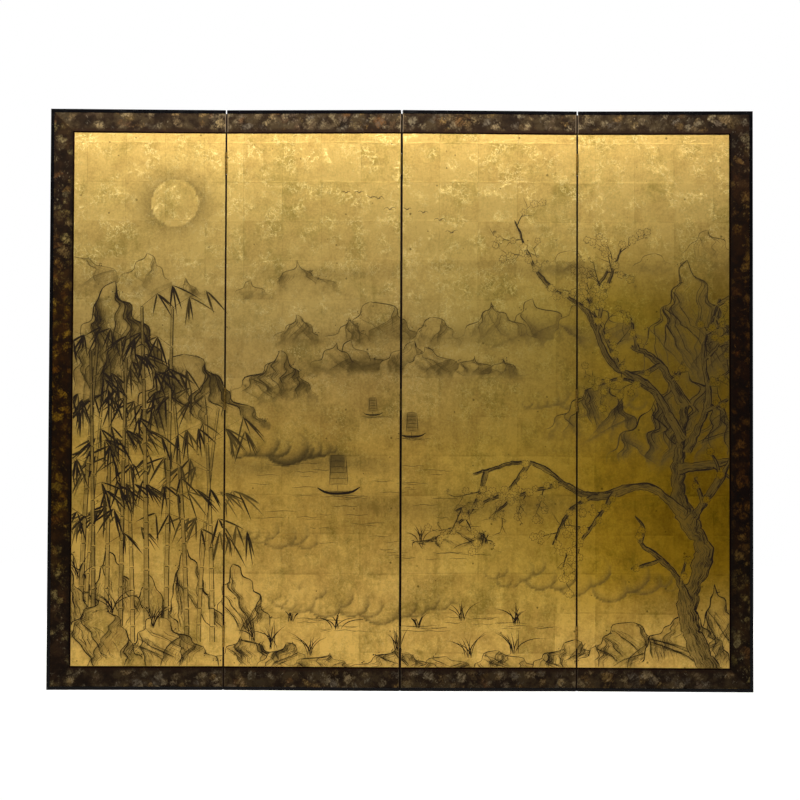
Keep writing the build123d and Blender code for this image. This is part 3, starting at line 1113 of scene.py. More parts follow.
@dataclass(frozen=True)
class Rock:
    """A rock: a broken outline, folds that leave it and run down inside, and texture strokes beside them.

    A pair is the least and the greatest of a range. Reaches are shares of its width and washes of its ink.
    """

    foot: Spot
    width: float
    height: float
    ink: float = 0.92
    mist: float = 0.0
    shoulder: float = 0.9
    folds: int = 7
    summit: Pair = (-0.18, 0.12)
    steep_out: float = 0.22
    ledge_drop: float = 0.42
    faintest: float = 0.07
    flank_reach: float = 0.08
    flank_ink: float = 0.28
    foot_wash: float = 0.04
    top_wash: float = 0.12
    fold_line: float = 0.75
    fold_reach: Pair = (0.028, 0.07)
    fold_ink: Pair = (0.2, 0.36)
    texture_gap: float = 5.5
    texture_line: Pair = (1.5, 2.6)
    moss_share: float = 0.5
    moss_ink: float = 0.3
    moss_dot: Pair = (2.6, 4.2)

    def descent(self, rng: np.random.Generator, start: Spot, end: Spot, step: float) -> np.ndarray:
        """A way down from one point to another, by ledges and steep runs in turn.

        Args:
            rng: the picture's own chance.
            start, end: the two points.
            step: about how far apart its points are.

        Returns:
            Its points, each lower than the last.
        """
        fall = start[1] - end[1]
        count = max(4, round(fall / step))
        way = np.arange(count)
        ledge = way % 2 == rng.integers(2)
        rounded = np.exp(-self.shoulder * way / count)
        out = rng.uniform(0.3, 1.0, count) * np.where(ledge, 1.0, self.steep_out) * rounded
        drop = rng.uniform(0.5, 1.0, count) * np.where(ledge, self.ledge_drop, 1.0)
        across = np.concatenate([[0.0], np.cumsum(out) / out.sum()]) * (end[0] - start[0])
        down = np.concatenate([[0.0], np.cumsum(drop) / drop.sum()]) * fall
        across[1:-1] += rng.normal(0, 0.09 * step, count - 1)
        smooth = flowing(zip(start[0] + across, start[1] - down), 3)
        return smooth[np.concatenate([[True], np.diff(np.minimum.accumulate(smooth[:, 1])) < 0])]

    def clear(self, up: float) -> float:
        """How much of the ink is left at a height on the painting, above the mist at the foot."""
        share = (up - self.foot[1]) / self.height
        return self.ink * min(1.0, max(0.0, (share - 0.4 * self.mist) / max(0.8 * self.mist, 0.01)))

    def paint(self, picture: Picture) -> None:
        """Paints the outline and the folds, and then hides what is behind.

        Args:
            picture: the painting.
        """
        rng = picture.rng
        middle, foot = self.foot
        summit = (middle + rng.uniform(*self.summit) * self.width, foot + self.height)
        step = 8.0 + 0.05 * self.height
        sides = [self.descent(rng, summit, (middle + s * self.width, foot), step) for s in (-0.5, 0.5)]
        heavy = min(5.0, 2.3 + self.height / 90)
        for side in sides:
            self.contour(picture, side, heavy)
        outline = np.vstack([sides[0][::-1], sides[1]])
        within = picture.inside(outline)
        picture.flank(sides[1], within, self.flank_reach * self.width, self.flank_ink * self.ink, -1)
        for number in range(self.folds):
            self.fold(picture, sides, within, self.fold_line * heavy, number % 2)
        self.moss(picture, sides[rng.integers(2)])
        picture.fill(outline, self.foot_wash * self.ink, self.top_wash * self.ink, self.mist)

    def contour(self, picture: Picture, line: np.ndarray, heavy: float) -> None:
        """Draws a line in short overlapping strokes of uneven weight.

        Args:
            picture: the painting.
            line: its points, in rows.
            heavy: about how wide the strokes are.
        """
        rng = picture.rng
        first = 0
        while first < len(line) - 2:
            last = first + rng.integers(4, 9)
            ink = self.clear(line[min(last, len(line)) - 1, 1]) * rng.uniform(0.75, 1.15)
            if ink > self.faintest:
                picture.draw(line[first:last], heavy * rng.uniform(0.5, 1.25), min(1.0, ink))
            first = last - 2

    def fold(
        self, picture: Picture, sides: list[np.ndarray], within: Cells, heavy: float, start: int
    ) -> None:
        """One fold that leaves the outline and runs down inside it, its shade, and the strokes beside it.

        Args:
            picture: the painting.
            sides: the two sides of the outline, from the top down.
            within: the cells inside the outline.
            heavy: the width of its line.
            start: 0 where it leaves the left side, or 1 for the right one.
        """
        rng = picture.rng
        top = self.foot[1] + self.height * rng.uniform(0.4, 0.97)
        low = self.foot[1] + (top - self.foot[1]) * rng.uniform(0.02, 0.5)
        levels = np.linspace(top, low, max(6, round((top - low) / 8)))
        rest = rng.uniform(0.12, 0.88)
        way = rest + (start - rest) * np.exp(-rng.uniform(2.0, 6.0) * (top - levels) / self.height)
        left, right = (np.interp(levels, side[::-1, 1], side[::-1, 0]) for side in sides)
        wander = np.cumsum(rng.normal(0, 1.2, len(levels)))
        across = np.clip(left + way * (right - left) + wander, left + 1, right - 1)
        line = np.column_stack([across, levels])
        self.contour(picture, line, heavy)
        reach = rng.uniform(*self.fold_reach) * self.width
        picture.flank(line, within, reach, rng.uniform(*self.fold_ink) * self.ink, 1)
        for _ in range(round((top - low) / self.texture_gap)):
            first = rng.integers(0, len(line) - 3)
            away = rng.exponential(1.5 * reach) + 2.0
            run = line[first : first + rng.integers(3, 6)] + (away, -rng.uniform(0, 8))
            edge = np.interp(run[-1, 1], sides[1][::-1, 1], sides[1][::-1, 0])
            ink = self.clear(run[-1, 1]) * rng.uniform(0.4, 0.85) * math.exp(-away / (6 * reach))
            if ink > self.faintest and run[-1, 0] < edge - 2:
                picture.draw(run, rng.uniform(*self.texture_line), ink, Taper.TAIL)

    def moss(self, picture: Picture, line: np.ndarray) -> None:
        """Clusters of dots on the ledges.

        Args:
            picture: the painting.
            line: the side of the outline that they grow on.
        """
        rng = picture.rng
        for spot in line[2:-4:4]:
            ink = self.clear(spot[1])
            if rng.random() < self.moss_share and ink > self.moss_ink:
                for reach in rng.normal(0, (5.0, 3.0), (rng.integers(3, 7), 2)):
                    touch = spot + reach + (0.0, 2.5)
                    dab = [touch - (1.8, 0.8), touch, touch + (2.2, 0.6)]
                    picture.draw(dab, rng.uniform(*self.moss_dot), ink, Taper.DOT)


@dataclass(frozen=True)
class Range:
    """Distant hills, one behind the other, in thin ink."""

    left: float
    right: float
    foot: float
    height: float
    ink: float
    humps: int = 5
    mist: float = 0.5
    shoulder: float = 0.5
    folds: int = 6
    haze: float = 0.25

    def paint(self, picture: Picture) -> None:
        """Paints the hills, the lower ones first.

        Args:
            picture: the painting.
        """
        rng = picture.rng
        heights = np.sort(rng.uniform(0.4, 1.0, self.humps))
        for place, share in zip(rng.permutation(np.linspace(self.left, self.right, self.humps)), heights):
            height = share * self.height
            foot = (place + rng.normal(0, 14), self.foot)
            reach = (0.9 * height, 0.25 * height)
            picture.shade((foot[0], foot[1] + 0.4 * height), reach, self.haze * self.ink)
            width = height * rng.uniform(1.7, 2.6)
            Rock(foot, width, height, self.ink, self.mist, self.shoulder, self.folds).paint(picture)


@dataclass(frozen=True)
class Cloud:
    """A bank of billows."""

    left: float
    right: float
    foot: float
    size: float
    ink: float

    def paint(self, picture: Picture) -> None:
        """Paints the billows from left to right, the middle ones larger.

        Args:
            picture: the painting.
        """
        rng = picture.rng
        across = self.left
        while across < self.right:
            way = (across - self.left) / (self.right - self.left)
            radius = self.size * rng.uniform(0.55, 1.0) * (0.4 + math.sin(math.pi * way))
            picture.puff((across, self.foot + rng.normal(0, 0.3) * self.size), radius, self.ink)
            across += radius * rng.uniform(0.7, 1.3)


@dataclass(frozen=True)
class Bamboo:
    """A stalk of bamboo: jointed lengths with a dark side, thin branches and hanging leaves."""

    root: Spot
    height: float
    girth: float
    lean: float
    ink: float
    joint_step: float = 44.0
    joint_growth: float = 0.07
    joint_gap: float = 2.2
    bare: float = 0.3
    dark_side: float = 3.4
    light_side: float = 1.9
    knot: float = 2.8
    twig: float = 1.8
    foot_wash: float = 0.26
    top_wash: float = 0.34
    branch_reach: Pair = (40, 95)
    leaf_length: Pair = (42, 82)
    leaf_width: Pair = (5.5, 8.5)

    def paint(self, picture: Picture) -> None:
        """Paints the stalk joint by joint, each branch before the length below it.

        Args:
            picture: the painting.
        """
        rng = picture.rng
        joints = [0.0]
        while joints[-1] < self.height:
            step = self.joint_step + self.joint_growth * joints[-1]
            joints.append(joints[-1] + rng.uniform(0.9, 1.1) * step)
        tops = np.array(joints)
        way = tops / tops[-1]
        spots = np.column_stack([self.root[0] + self.lean * way**1.6, self.root[1] + tops])
        for number, (low, high) in enumerate(zip(spots, spots[1:])):
            if way[number] > self.bare:
                self.branch(picture, high, (-1) ** number)
            self.length(picture, low, high, self.girth * (1 - 0.55 * way[number]))

    def length(self, picture: Picture, low: np.ndarray, high: np.ndarray, girth: float) -> None:
        """One length between two joints.

        Args:
            picture: the painting.
            low, high: the two joints.
            girth: its width.
        """
        gap = np.array([0.0, self.joint_gap])
        half = np.array([girth / 2, 0.0])
        foot, head = low + gap, high - gap
        waist = (foot + head) / 2
        for off, line, ink in ((half, self.dark_side, self.ink), (-half, self.light_side, 0.8 * self.ink)):
            picture.draw([foot + off, waist + 0.9 * off, head + off], line, ink, Taper.BAR)
        joint = [high - 1.1 * half, high - (0.0, 1.8), high + 1.3 * half]
        picture.draw(joint, self.knot, min(1.0, self.ink + 0.2))
        outline = np.array([foot - half, foot + half, head + half, head - half])
        picture.fill(outline, self.foot_wash * self.ink, self.top_wash * self.ink)

    def branch(self, picture: Picture, joint: np.ndarray, side: int) -> None:
        """A thin branch from a joint, with a fan of leaves at its end and one half way.

        Args:
            picture: the painting.
            joint: where it grows.
            side: 1 to the right, or -1 to the left.
        """
        rng = picture.rng
        reach = rng.uniform(*self.branch_reach)
        tip = joint + (side * reach, reach * rng.uniform(0.15, 0.75))
        waist = (joint + tip) / 2 + (0.0, 6.0)
        picture.draw([joint, waist, tip], self.twig, self.ink, Taper.TAIL)
        for spot in (tip, waist):
            for _ in range(rng.integers(3, 6)):
                self.leaf(picture, spot, side)

    def leaf(self, picture: Picture, stem: np.ndarray, side: int) -> None:
        """One leaf, hanging from its stem.

        Args:
            picture: the painting.
            stem: where it hangs from.
            side: the side of the stalk that it is on, 1 or -1.
        """
        rng = picture.rng
        turn = math.radians(-90 + side * rng.uniform(-25, 78))
        length = rng.uniform(*self.leaf_length)
        way = np.linspace(0, 1, 5)[:, None]
        heading = np.array([math.cos(turn), math.sin(turn)])
        sag = np.array([0.0, -0.14 * length])
        ink = min(1.0, self.ink * rng.uniform(0.65, 1.3))
        path = stem + heading * length * way + sag * way**2
        picture.draw(path, rng.uniform(*self.leaf_width), ink, Taper.LEAF)


@dataclass(frozen=True)
class Grass:
    """A tuft of long blades."""

    root: Spot
    length: float
    blades: int
    ink: float
    spread: float = 5.0
    bend: float = 0.55
    blade: Pair = (2.4, 3.8)

    def paint(self, picture: Picture) -> None:
        """Paints the blades, each bending over to its own side.

        Args:
            picture: the painting.
        """
        rng = picture.rng
        for _ in range(self.blades):
            bend = rng.normal(0, self.bend)
            length = self.length * rng.uniform(0.55, 1.0)
            way = np.linspace(0, 1, 6)
            across = self.root[0] + rng.normal(0, self.spread) + bend * length * way**1.8
            up = self.root[1] + length * (way - 0.35 * abs(bend) * way**3)
            picture.draw(np.column_stack([across, up]), rng.uniform(*self.blade), self.ink, Taper.LEAF)


@dataclass(frozen=True)
class Water:
    """Ripples: long thin level strokes."""

    middle: Spot
    size: Spot
    count: int
    ink: float
    ripple: Pair = (24, 90)
    wave: float = 1.6
    line: Pair = (1.5, 2.4)

    def paint(self, picture: Picture) -> None:
        """Paints the ripples.

        Args:
            picture: the painting.
        """
        rng = picture.rng
        for across, up in rng.uniform(-0.5, 0.5, (self.count, 2)) * self.size + self.middle:
            length = rng.uniform(*self.ripple)
            way = np.linspace(0, 1, 7)
            wave = self.wave * np.sin(way * rng.uniform(5, 12) + rng.uniform(0, 6))
            path = np.column_stack([across + length * way, up + wave])
            picture.draw(path, rng.uniform(*self.line), self.ink)


@dataclass(frozen=True)
class Boat:
    """A small boat with a battened sail. Its outlines are shares of its length, from where it floats."""

    place: Spot
    length: float
    ink: float
    battens: int = 6
    sail: tuple[Spot, ...] = ((-0.24, 0.2), (0.3, 0.2), (0.2, 1.05), (-0.24, 1.05))
    hull: tuple[Spot, ...] = ((-0.6, 0.1), (-0.35, -0.04), (0.0, -0.07), (0.4, -0.03), (0.66, 0.12))
    mast: float = 1.2
    batten_line: float = 1.8
    edge_line: float = 2.0
    mast_line: float = 2.2
    hull_line: float = 0.11
    washes: Pair = (0.12, 0.2)

    def paint(self, picture: Picture) -> None:
        """Paints the sail, the mast, the hull and the water round it.

        Args:
            picture: the painting.
        """
        across, up = self.place
        size = self.length
        (back, low), (front, _), (head_front, high), _ = self.sail
        foot, head = low * size, high * size
        for share in np.linspace(0, 1, self.battens):
            height = up + foot + (head - foot) * share
            left, right = across + back * size, across + (front + (head_front - front) * share) * size
            batten = [(left, height), ((left + right) / 2, height + 1.2), (right, height)]
            picture.draw(batten, self.batten_line, 0.8 * self.ink)
        for side in (back, front):
            edge = [(across + side * size, up + foot), (across + 0.8 * side * size, up + head)]
            picture.draw(edge, self.edge_line, self.ink)
        picture.fill(np.array(self.sail) * size + self.place, *self.washes)
        picture.draw([(across, up), (across + 1, up + self.mast * size)], self.mast_line, self.ink)
        hull = flowing(np.array(self.hull) * size + self.place, 4)
        picture.draw(hull, self.hull_line * size, self.ink)
        rail = [(across - 0.5 * size, up + 1), (across, up - 1), (across + 0.5 * size, up + 1)]
        picture.draw(rail, self.edge_line, self.ink)
        Water((across - 20, up - 0.2 * size), (size, 0.14 * size), 5, 0.5 * self.ink).paint(picture)


@dataclass(frozen=True)
class Plum:
    """A limb of an old plum in flower, which forks again and again into branches and twigs."""

    knots: tuple[Spot, ...]
    girth: float
    ink: float = 0.95
    forks: int = 3
    step: float = 9.0
    flowering: float = 12.0
    flower_share: float = 0.75
    barked: float = 8.0
    thinnest: float = 2.4
    thinning: float = 0.42
    edge_lines: Pair = (2.6, 4.2)
    bark_line: Pair = (1.5, 3.0)
    wash: float = 0.3
    flower_size: Pair = (8.5, 11.5)
    bud_share: float = 0.3
    bud_size: float = 0.35
    bud_line: float = 1.9
    petals: int = 5
    petal_line: float = 1.6
    petal_ink: float = 0.9
    heart_line: float = 3.4
    heart_ink: float = 0.95

    def paint(self, picture: Picture) -> None:
        """Paints what is nearest first: the flowers, the forks, and then the limb that carries them.

        Args:
            picture: the painting.
        """
        rng = picture.rng
        line = even(flowing(self.knots), self.step)
        line[1:-1] += rng.normal(0, 0.5 + 0.03 * self.girth, line[1:-1].shape)
        if self.girth < self.flowering:
            for spot in line[2::3]:
                if rng.random() < self.flower_share:
                    self.flower(picture, spot + rng.normal(0, 5, 2))
        if self.forks:
            count = 2 + self.forks
            for place in np.linspace(0.3, 0.96, count) + rng.uniform(-0.05, 0.04, count):
                self.fork(picture, line, place)
        if self.girth < self.barked:
            picture.draw(line, self.girth, self.ink, Taper.TAIL)
        else:
            self.bark(picture, line)

    def fork(self, picture: Picture, line: np.ndarray, place: float) -> None:
        """A thinner limb that turns off from this one.

        Args:
            picture: the painting.
            line: the middle line of this one.
            place: how far along it the fork is, from 0 to 1.
        """
        rng = picture.rng
        first = round(place * (len(line) - 1))
        heading = line[min(first + 2, len(line) - 1)] - line[max(first - 2, 0)]
        turn = math.atan2(heading[1], heading[0]) + rng.choice((-1, 1)) * rng.uniform(0.45, 1.15)
        length = np.linalg.norm(line[-1] - line[0]) * rng.uniform(0.28, 0.45)
        end = line[first] + length * np.array([math.cos(turn), math.sin(turn)])
        waist = (line[first] + end) / 2 + rng.normal(0, 0.1 * length, 2)
        knots = tuple(map(tuple, (line[first], waist, end)))
        Plum(knots, max(self.thinnest, self.girth * self.thinning), self.ink, self.forks - 1).paint(picture)

    def bark(self, picture: Picture, line: np.ndarray) -> None:
        """A thick limb: broken edges, the right one heavier, and short strokes of bark between them.

        Args:
            picture: the painting.
            line: its middle line.
        """
        rng = picture.rng
        count = len(line)
        heading = np.gradient(line, axis=0)
        heading /= np.hypot(*heading.T)[:, None]
        right = np.column_stack([heading[:, 1], -heading[:, 0]])
        knotty = np.convolve(rng.normal(0, 0.16, count + 4), np.ones(5) / 2.2, "valid")
        halves = 0.5 * self.girth * np.linspace(1.0, 0.16, count) ** 0.8 * (1 + knotty)
        edges = [line + side * halves[:, None] * right for side in (-1, 1)]
        for edge, heavy in zip(edges, self.edge_lines):
            for first in range(0, count - 2, 3):
                ink = min(1.0, self.ink * rng.uniform(0.85, 1.1))
                picture.draw(edge[first : first + 5], heavy * rng.uniform(0.7, 1.2), ink)
        for _ in range(round(count * self.girth / 9)):
            first = rng.integers(0, count - 2)
            off = 0.92 - 1.7 * rng.random() ** 1.5
            run = line[first : first + rng.integers(3, 5)]
            bowed = off * (halves * (1 + 0.1 * rng.normal()))[first : first + len(run), None]
            ink = self.ink * (0.62 + 0.33 * off) * rng.uniform(0.7, 1.1)
            strip = run + bowed * right[first : first + len(run)]
            picture.draw(strip, rng.uniform(*self.bark_line), ink, Taper.TAIL)
        picture.fill(np.vstack([edges[0], edges[1][::-1]]), self.wash * self.ink, self.wash * self.ink)

    def flower(self, picture: Picture, middle: np.ndarray) -> None:
        """A flower of round petals, pale inside its outline, or now and then a bud.

        Args:
            picture: the painting.
            middle: where it is.
        """
        rng = picture.rng
        size = rng.uniform(*self.flower_size)
        if rng.random() < self.bud_share:
            bud = circle(middle, self.bud_size * size, 12)
            picture.draw(bud[:9], self.bud_line, self.petal_ink)
            picture.fill(bud, 0.2, 0.2)
            return
        for turn in 2 * math.pi * (np.arange(self.petals) / self.petals + rng.random()):
            petal = middle + 0.62 * size * np.array([math.cos(turn), math.sin(turn)])
            arc = turn + np.linspace(-2.0, 2.0, 7)
            edge = petal + 0.46 * size * np.column_stack([np.cos(arc), np.sin(arc)])
            picture.draw(edge, self.petal_line, self.petal_ink)
        heart = [middle - (1.2, 0), middle, middle + (1.2, 0)]
        picture.draw(heart, self.heart_line, self.heart_ink, Taper.DOT)
        picture.fill(circle(middle, 0.95 * size, 12), 0.0, 0.0)


@dataclass(frozen=True)
class Geese:
    """A straggling line of birds in flight. Their outlines are shares of their span."""

    first: Spot
    last: Spot
    count: int
    span: float
    ink: float
    stray: float = 9.0
    spans: Pair = (0.8, 1.15)
    elbow: Spot = (0.26, 0.2)
    tip: Pair = (-0.1, 0.2)
    tail: Spot = (0.12, 0.04)
    head: Spot = (0.2, 0.03)
    wing_line: float = 2.9
    body_line: float = 2.6

    def paint(self, picture: Picture) -> None:
        """Paints two wings and a body for each bird.

        Args:
            picture: the painting.
        """
        rng = picture.rng
        for way in np.linspace(0, 1, self.count):
            spot = np.array(self.first) * (1 - way) + np.array(self.last) * way + rng.normal(0, self.stray, 2)
            span = self.span * rng.uniform(*self.spans)
            for side in (-1, 1):
                elbow = spot + (side * self.elbow[0] * span, self.elbow[1] * span)
                tip = spot + (side * 0.5 * span, rng.uniform(*self.tip) * span)
                picture.draw([spot, elbow, tip], self.wing_line, self.ink, Taper.TAIL)
            tail, head = span * np.array(self.tail), span * np.array(self.head)
            picture.draw([spot - tail, spot, spot + head], self.body_line, self.ink)


@dataclass(frozen=True)
class Moon:
    """A full moon, left clear in a soft ring of wash."""

    middle: Spot
    radius: float
    ink: float
    ring: float = 2.1
    level: float = 0.8

    def paint(self, picture: Picture) -> None:
        """Keeps the disc clear and shades round it.

        Args:
            picture: the painting.
        """
        picture.fill(circle(self.middle, self.radius, 48), 0.0, 0.0)
        reach = self.ring * self.radius
        picture.shade(self.middle, (reach, self.level * reach), self.ink)


@dataclass(frozen=True)
class Mist:
    """A level band of wash with soft ends."""

    middle: Spot
    size: Spot
    ink: float
    patches: int = 7
    patch: float = 0.16

    def paint(self, picture: Picture) -> None:
        """Shades the band in overlapping patches.

        Args:
            picture: the painting.
        """
        rng = picture.rng
        length, thick = self.size
        for place in np.linspace(-0.5, 0.5, self.patches):
            spot = (self.middle[0] + place * length, self.middle[1] + rng.normal(0, 0.3) * thick)
            picture.shade(spot, (self.patch * length, thick * rng.uniform(0.7, 1.2)), self.ink, True)


@dataclass(frozen=True)
class Landscape:
    """Bamboo, water, crags and a flowering plum under a moon, as things from the nearest to the farthest."""

    rng: np.random.Generator
    below: float = -12.0

    def things(self) -> list[Motif]:
        """Everything in the picture, the nearest first."""
        return [*self.bank(), *self.grove(), *self.lake(), *self.hills(), *self.sky()]

    def bank(self) -> list[Motif]:
        """The old plum on the right, and the rocks along the lower edge.

        Returns:
            The things, the nearest first.
        """
        trunk = ((1650, -10), (1596, 150), (1640, 300), (1574, 450), (1592, 700))
        things: list[Motif] = [
            Plum(((1580, 405), (1490, 470), (1340, 445), (1190, 530), (1040, 500)), 24.0),
            Plum(((1586, 590), (1500, 730), (1400, 790), (1330, 930), (1230, 990)), 22.0),
            Plum(((1596, 560), (1650, 690), (1640, 830), (1682, 960)), 20.0),
            Plum(trunk, 62.0, forks=2),
        ]
        for across, size, tall in ((1600, 250, 150), (1690, 170, 230), (1430, 260, 130), (1280, 220, 84)):
            things.append(Rock((across, self.below), size, tall, folds=9))
        low = ((1130, 200, 56), (985, 180, 40), (820, 240, 62), (650, 200, 48), (545, 170, 74))
        left = ((70, 240, 190), (265, 260, 140), (440, 220, 90), (-10, 160, 320))
        for rocks, stray, up, length in ((low, 60, 0.6, 80.0), (left, 50, 0.7, 85.0)):
            for across, size, tall in rocks:
                things.append(Grass((across + self.rng.uniform(-stray, stray), up * tall), length, 8, 0.9))
                things.append(Rock((across, self.below), size, tall))
        return things

    def grove(self) -> list[Motif]:
        """The bamboo grove at the left, each stalk paler than the one before, and the rocks that it grows on.

        Returns:
            The things, the nearest first.
        """
        rng = self.rng
        things: list[Motif] = []
        for number, across in enumerate((58, 128, 24, 196, 300, 92, 246, 160, 366, 38, 330)):
            tall = rng.uniform(620, 960) - 0.7 * abs(across - 150)
            girth, lean = rng.uniform(10, 14), rng.uniform(-40, 60)
            things.append(Bamboo((across, 60), tall, girth, lean, 0.92 - 0.05 * number))
        for across in np.linspace(10, 440, 5):
            things.append(Rock((across, 30 + rng.uniform(0, 70)), 190, rng.uniform(150, 250), 0.7, 0.15))
        return things

    def lake(self) -> list[Motif]:
        """The near shore, reeds, boats and an islet.

        Returns:
            The things, the nearest first.
        """
        things: list[Motif] = [Cloud(520, 1000, 168, 36.0, 0.42)]
        for spot in ((570, 116), (690, 96), (1010, 120), (900, 100), (1150, 110)):
            things += [Grass(spot, 70.0, 8, 0.85), Water(spot, (120, 22), 6, 0.5)]
        things += [Boat((690, 455), 88.0, 0.95), Boat((880, 600), 56.0, 0.8), Boat((780, 655), 40.0, 0.65)]
        things += [Grass((905, 325), 52.0, 7, 0.8), Grass((1075, 318), 46.0, 6, 0.8)]
        things += [Rock((1010, 300), 190, 66, 0.85, 0.05), Rock((925, 300), 120, 40, 0.8, 0.05)]
        things.append(Water((920, 292), (260, 26), 12, 0.5))
        things += [Cloud(1090, 1560, 236, 44.0, 0.42), Cloud(420, 640, 345, 32.0, 0.38)]
        things.append(Water((720, 430), (520, 220), 46, 0.42))
        return things

    def hills(self) -> list[Motif]:
        """The hills behind the grove and behind the plum.

        Returns:
            The things, the nearest first.
        """
        return [
            Cloud(420, 700, 560, 36.0, 0.36),
            Rock((330, 560), 420, 250, 0.82, 0.35, 1.0, 11),
            Rock((120, 600), 360, 400, 0.72, 0.35, 1.2, 13),
            Rock((500, 650), 330, 170, 0.62, 0.4, 0.8, 12),
            Rock((1570, 470), 420, 300, 0.78, 0.35, 1.0, 16),
            Rock((1350, 560), 330, 190, 0.66, 0.4, 0.8, 12),
            Cloud(1180, 1480, 700, 38.0, 0.34),
            Rock((1640, 640), 380, 420, 0.56, 0.4, 1.2, 16),
            Range(680, 1130, 735, 120, 0.6, 6),
            Range(560, 1360, 810, 160, 0.5, 7),
            Range(20, 620, 940, 150, 0.42, 5),
            Range(1300, 1680, 1010, 140, 0.36, 3),
        ]

    def sky(self) -> list[Motif]:
        """The geese, the moon and the bands of mist.

        Returns:
            The things, the nearest first.
        """
        return [
            Geese((980, 1150), (700, 1240), 9, 32.0, 0.85),
            Moon((262, 1205), 60.0, 0.42),
            Mist((1000, 1030), (900, 26), 0.12),
            Mist((1350, 1140), (600, 20), 0.1),
            Mist((560, 520), (500, 40), 0.14),
            Mist((1000, 420), (620, 46), 0.12),
            Mist((830, 800), (1700, 190), 0.09),
            Mist((1000, 600), (900, 60), 0.07),
        ]


@dataclass(frozen=True)
class Board:
    """A flat sheet of the frame: where its painted face lies and how large it is."""

    corner: Vector
    along: Vector
    out: Vector
    width: float
    height: float
    thickness: float

    @classmethod
    def of_node(cls, name: str) -> "Board":
        """Reads a sheet's place and size.

        Args:
            name: its node.

        Returns:
            The sheet.
        """
        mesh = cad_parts[name].data
        points = np.array([v.co for v in mesh.vertices])
        faces = [f for f in mesh.polygons if f.normal.y < -0.9]
        front = np.array([mesh.vertices[v].co for f in faces for v in f.vertices])
        left, right = front[front[:, 0].argmin()], front[front[:, 0].argmax()]
        run = (right - left) * (1.0, 1.0, 0.0)
        width = np.linalg.norm(run)
        along = run / width
        out = np.array([along[1], -along[0], 0.0])
        low, high = points[:, 2].min(), points[:, 2].max()
        corner = Vector((left[0], left[1], low))
        thickness = np.ptp(points @ out)
        return cls(corner, Vector(along), Vector(out), float(width), float(high - low), float(thickness))

    def place(self, spots: np.ndarray) -> np.ndarray:
        """Points of the frame from rows of along, up and proud."""
        axes = np.array([self.along, (0.0, 0.0, 1.0), self.out])
        return spots @ axes + np.array(self.corner)


@dataclass
class SheetMesh:
    """A mesh being put together from rows of along, up and proud in millimetres, each point with its ink."""

    points: list[np.ndarray] = field(default_factory=list)
    inks: list[np.ndarray] = field(default_factory=list)
    faces: list[tuple[int, ...]] = field(default_factory=list)
    count: int = 0

    def add(self, points: np.ndarray, inks: np.ndarray) -> int:
        """Adds points.

        Args:
            points: rows of along, up and proud.
            inks: the ink of each.

        Returns:
            The number of the first one.
        """
        first = self.count
        self.points.append(points)
        self.inks.append(inks)
        self.count += len(points)
        return first


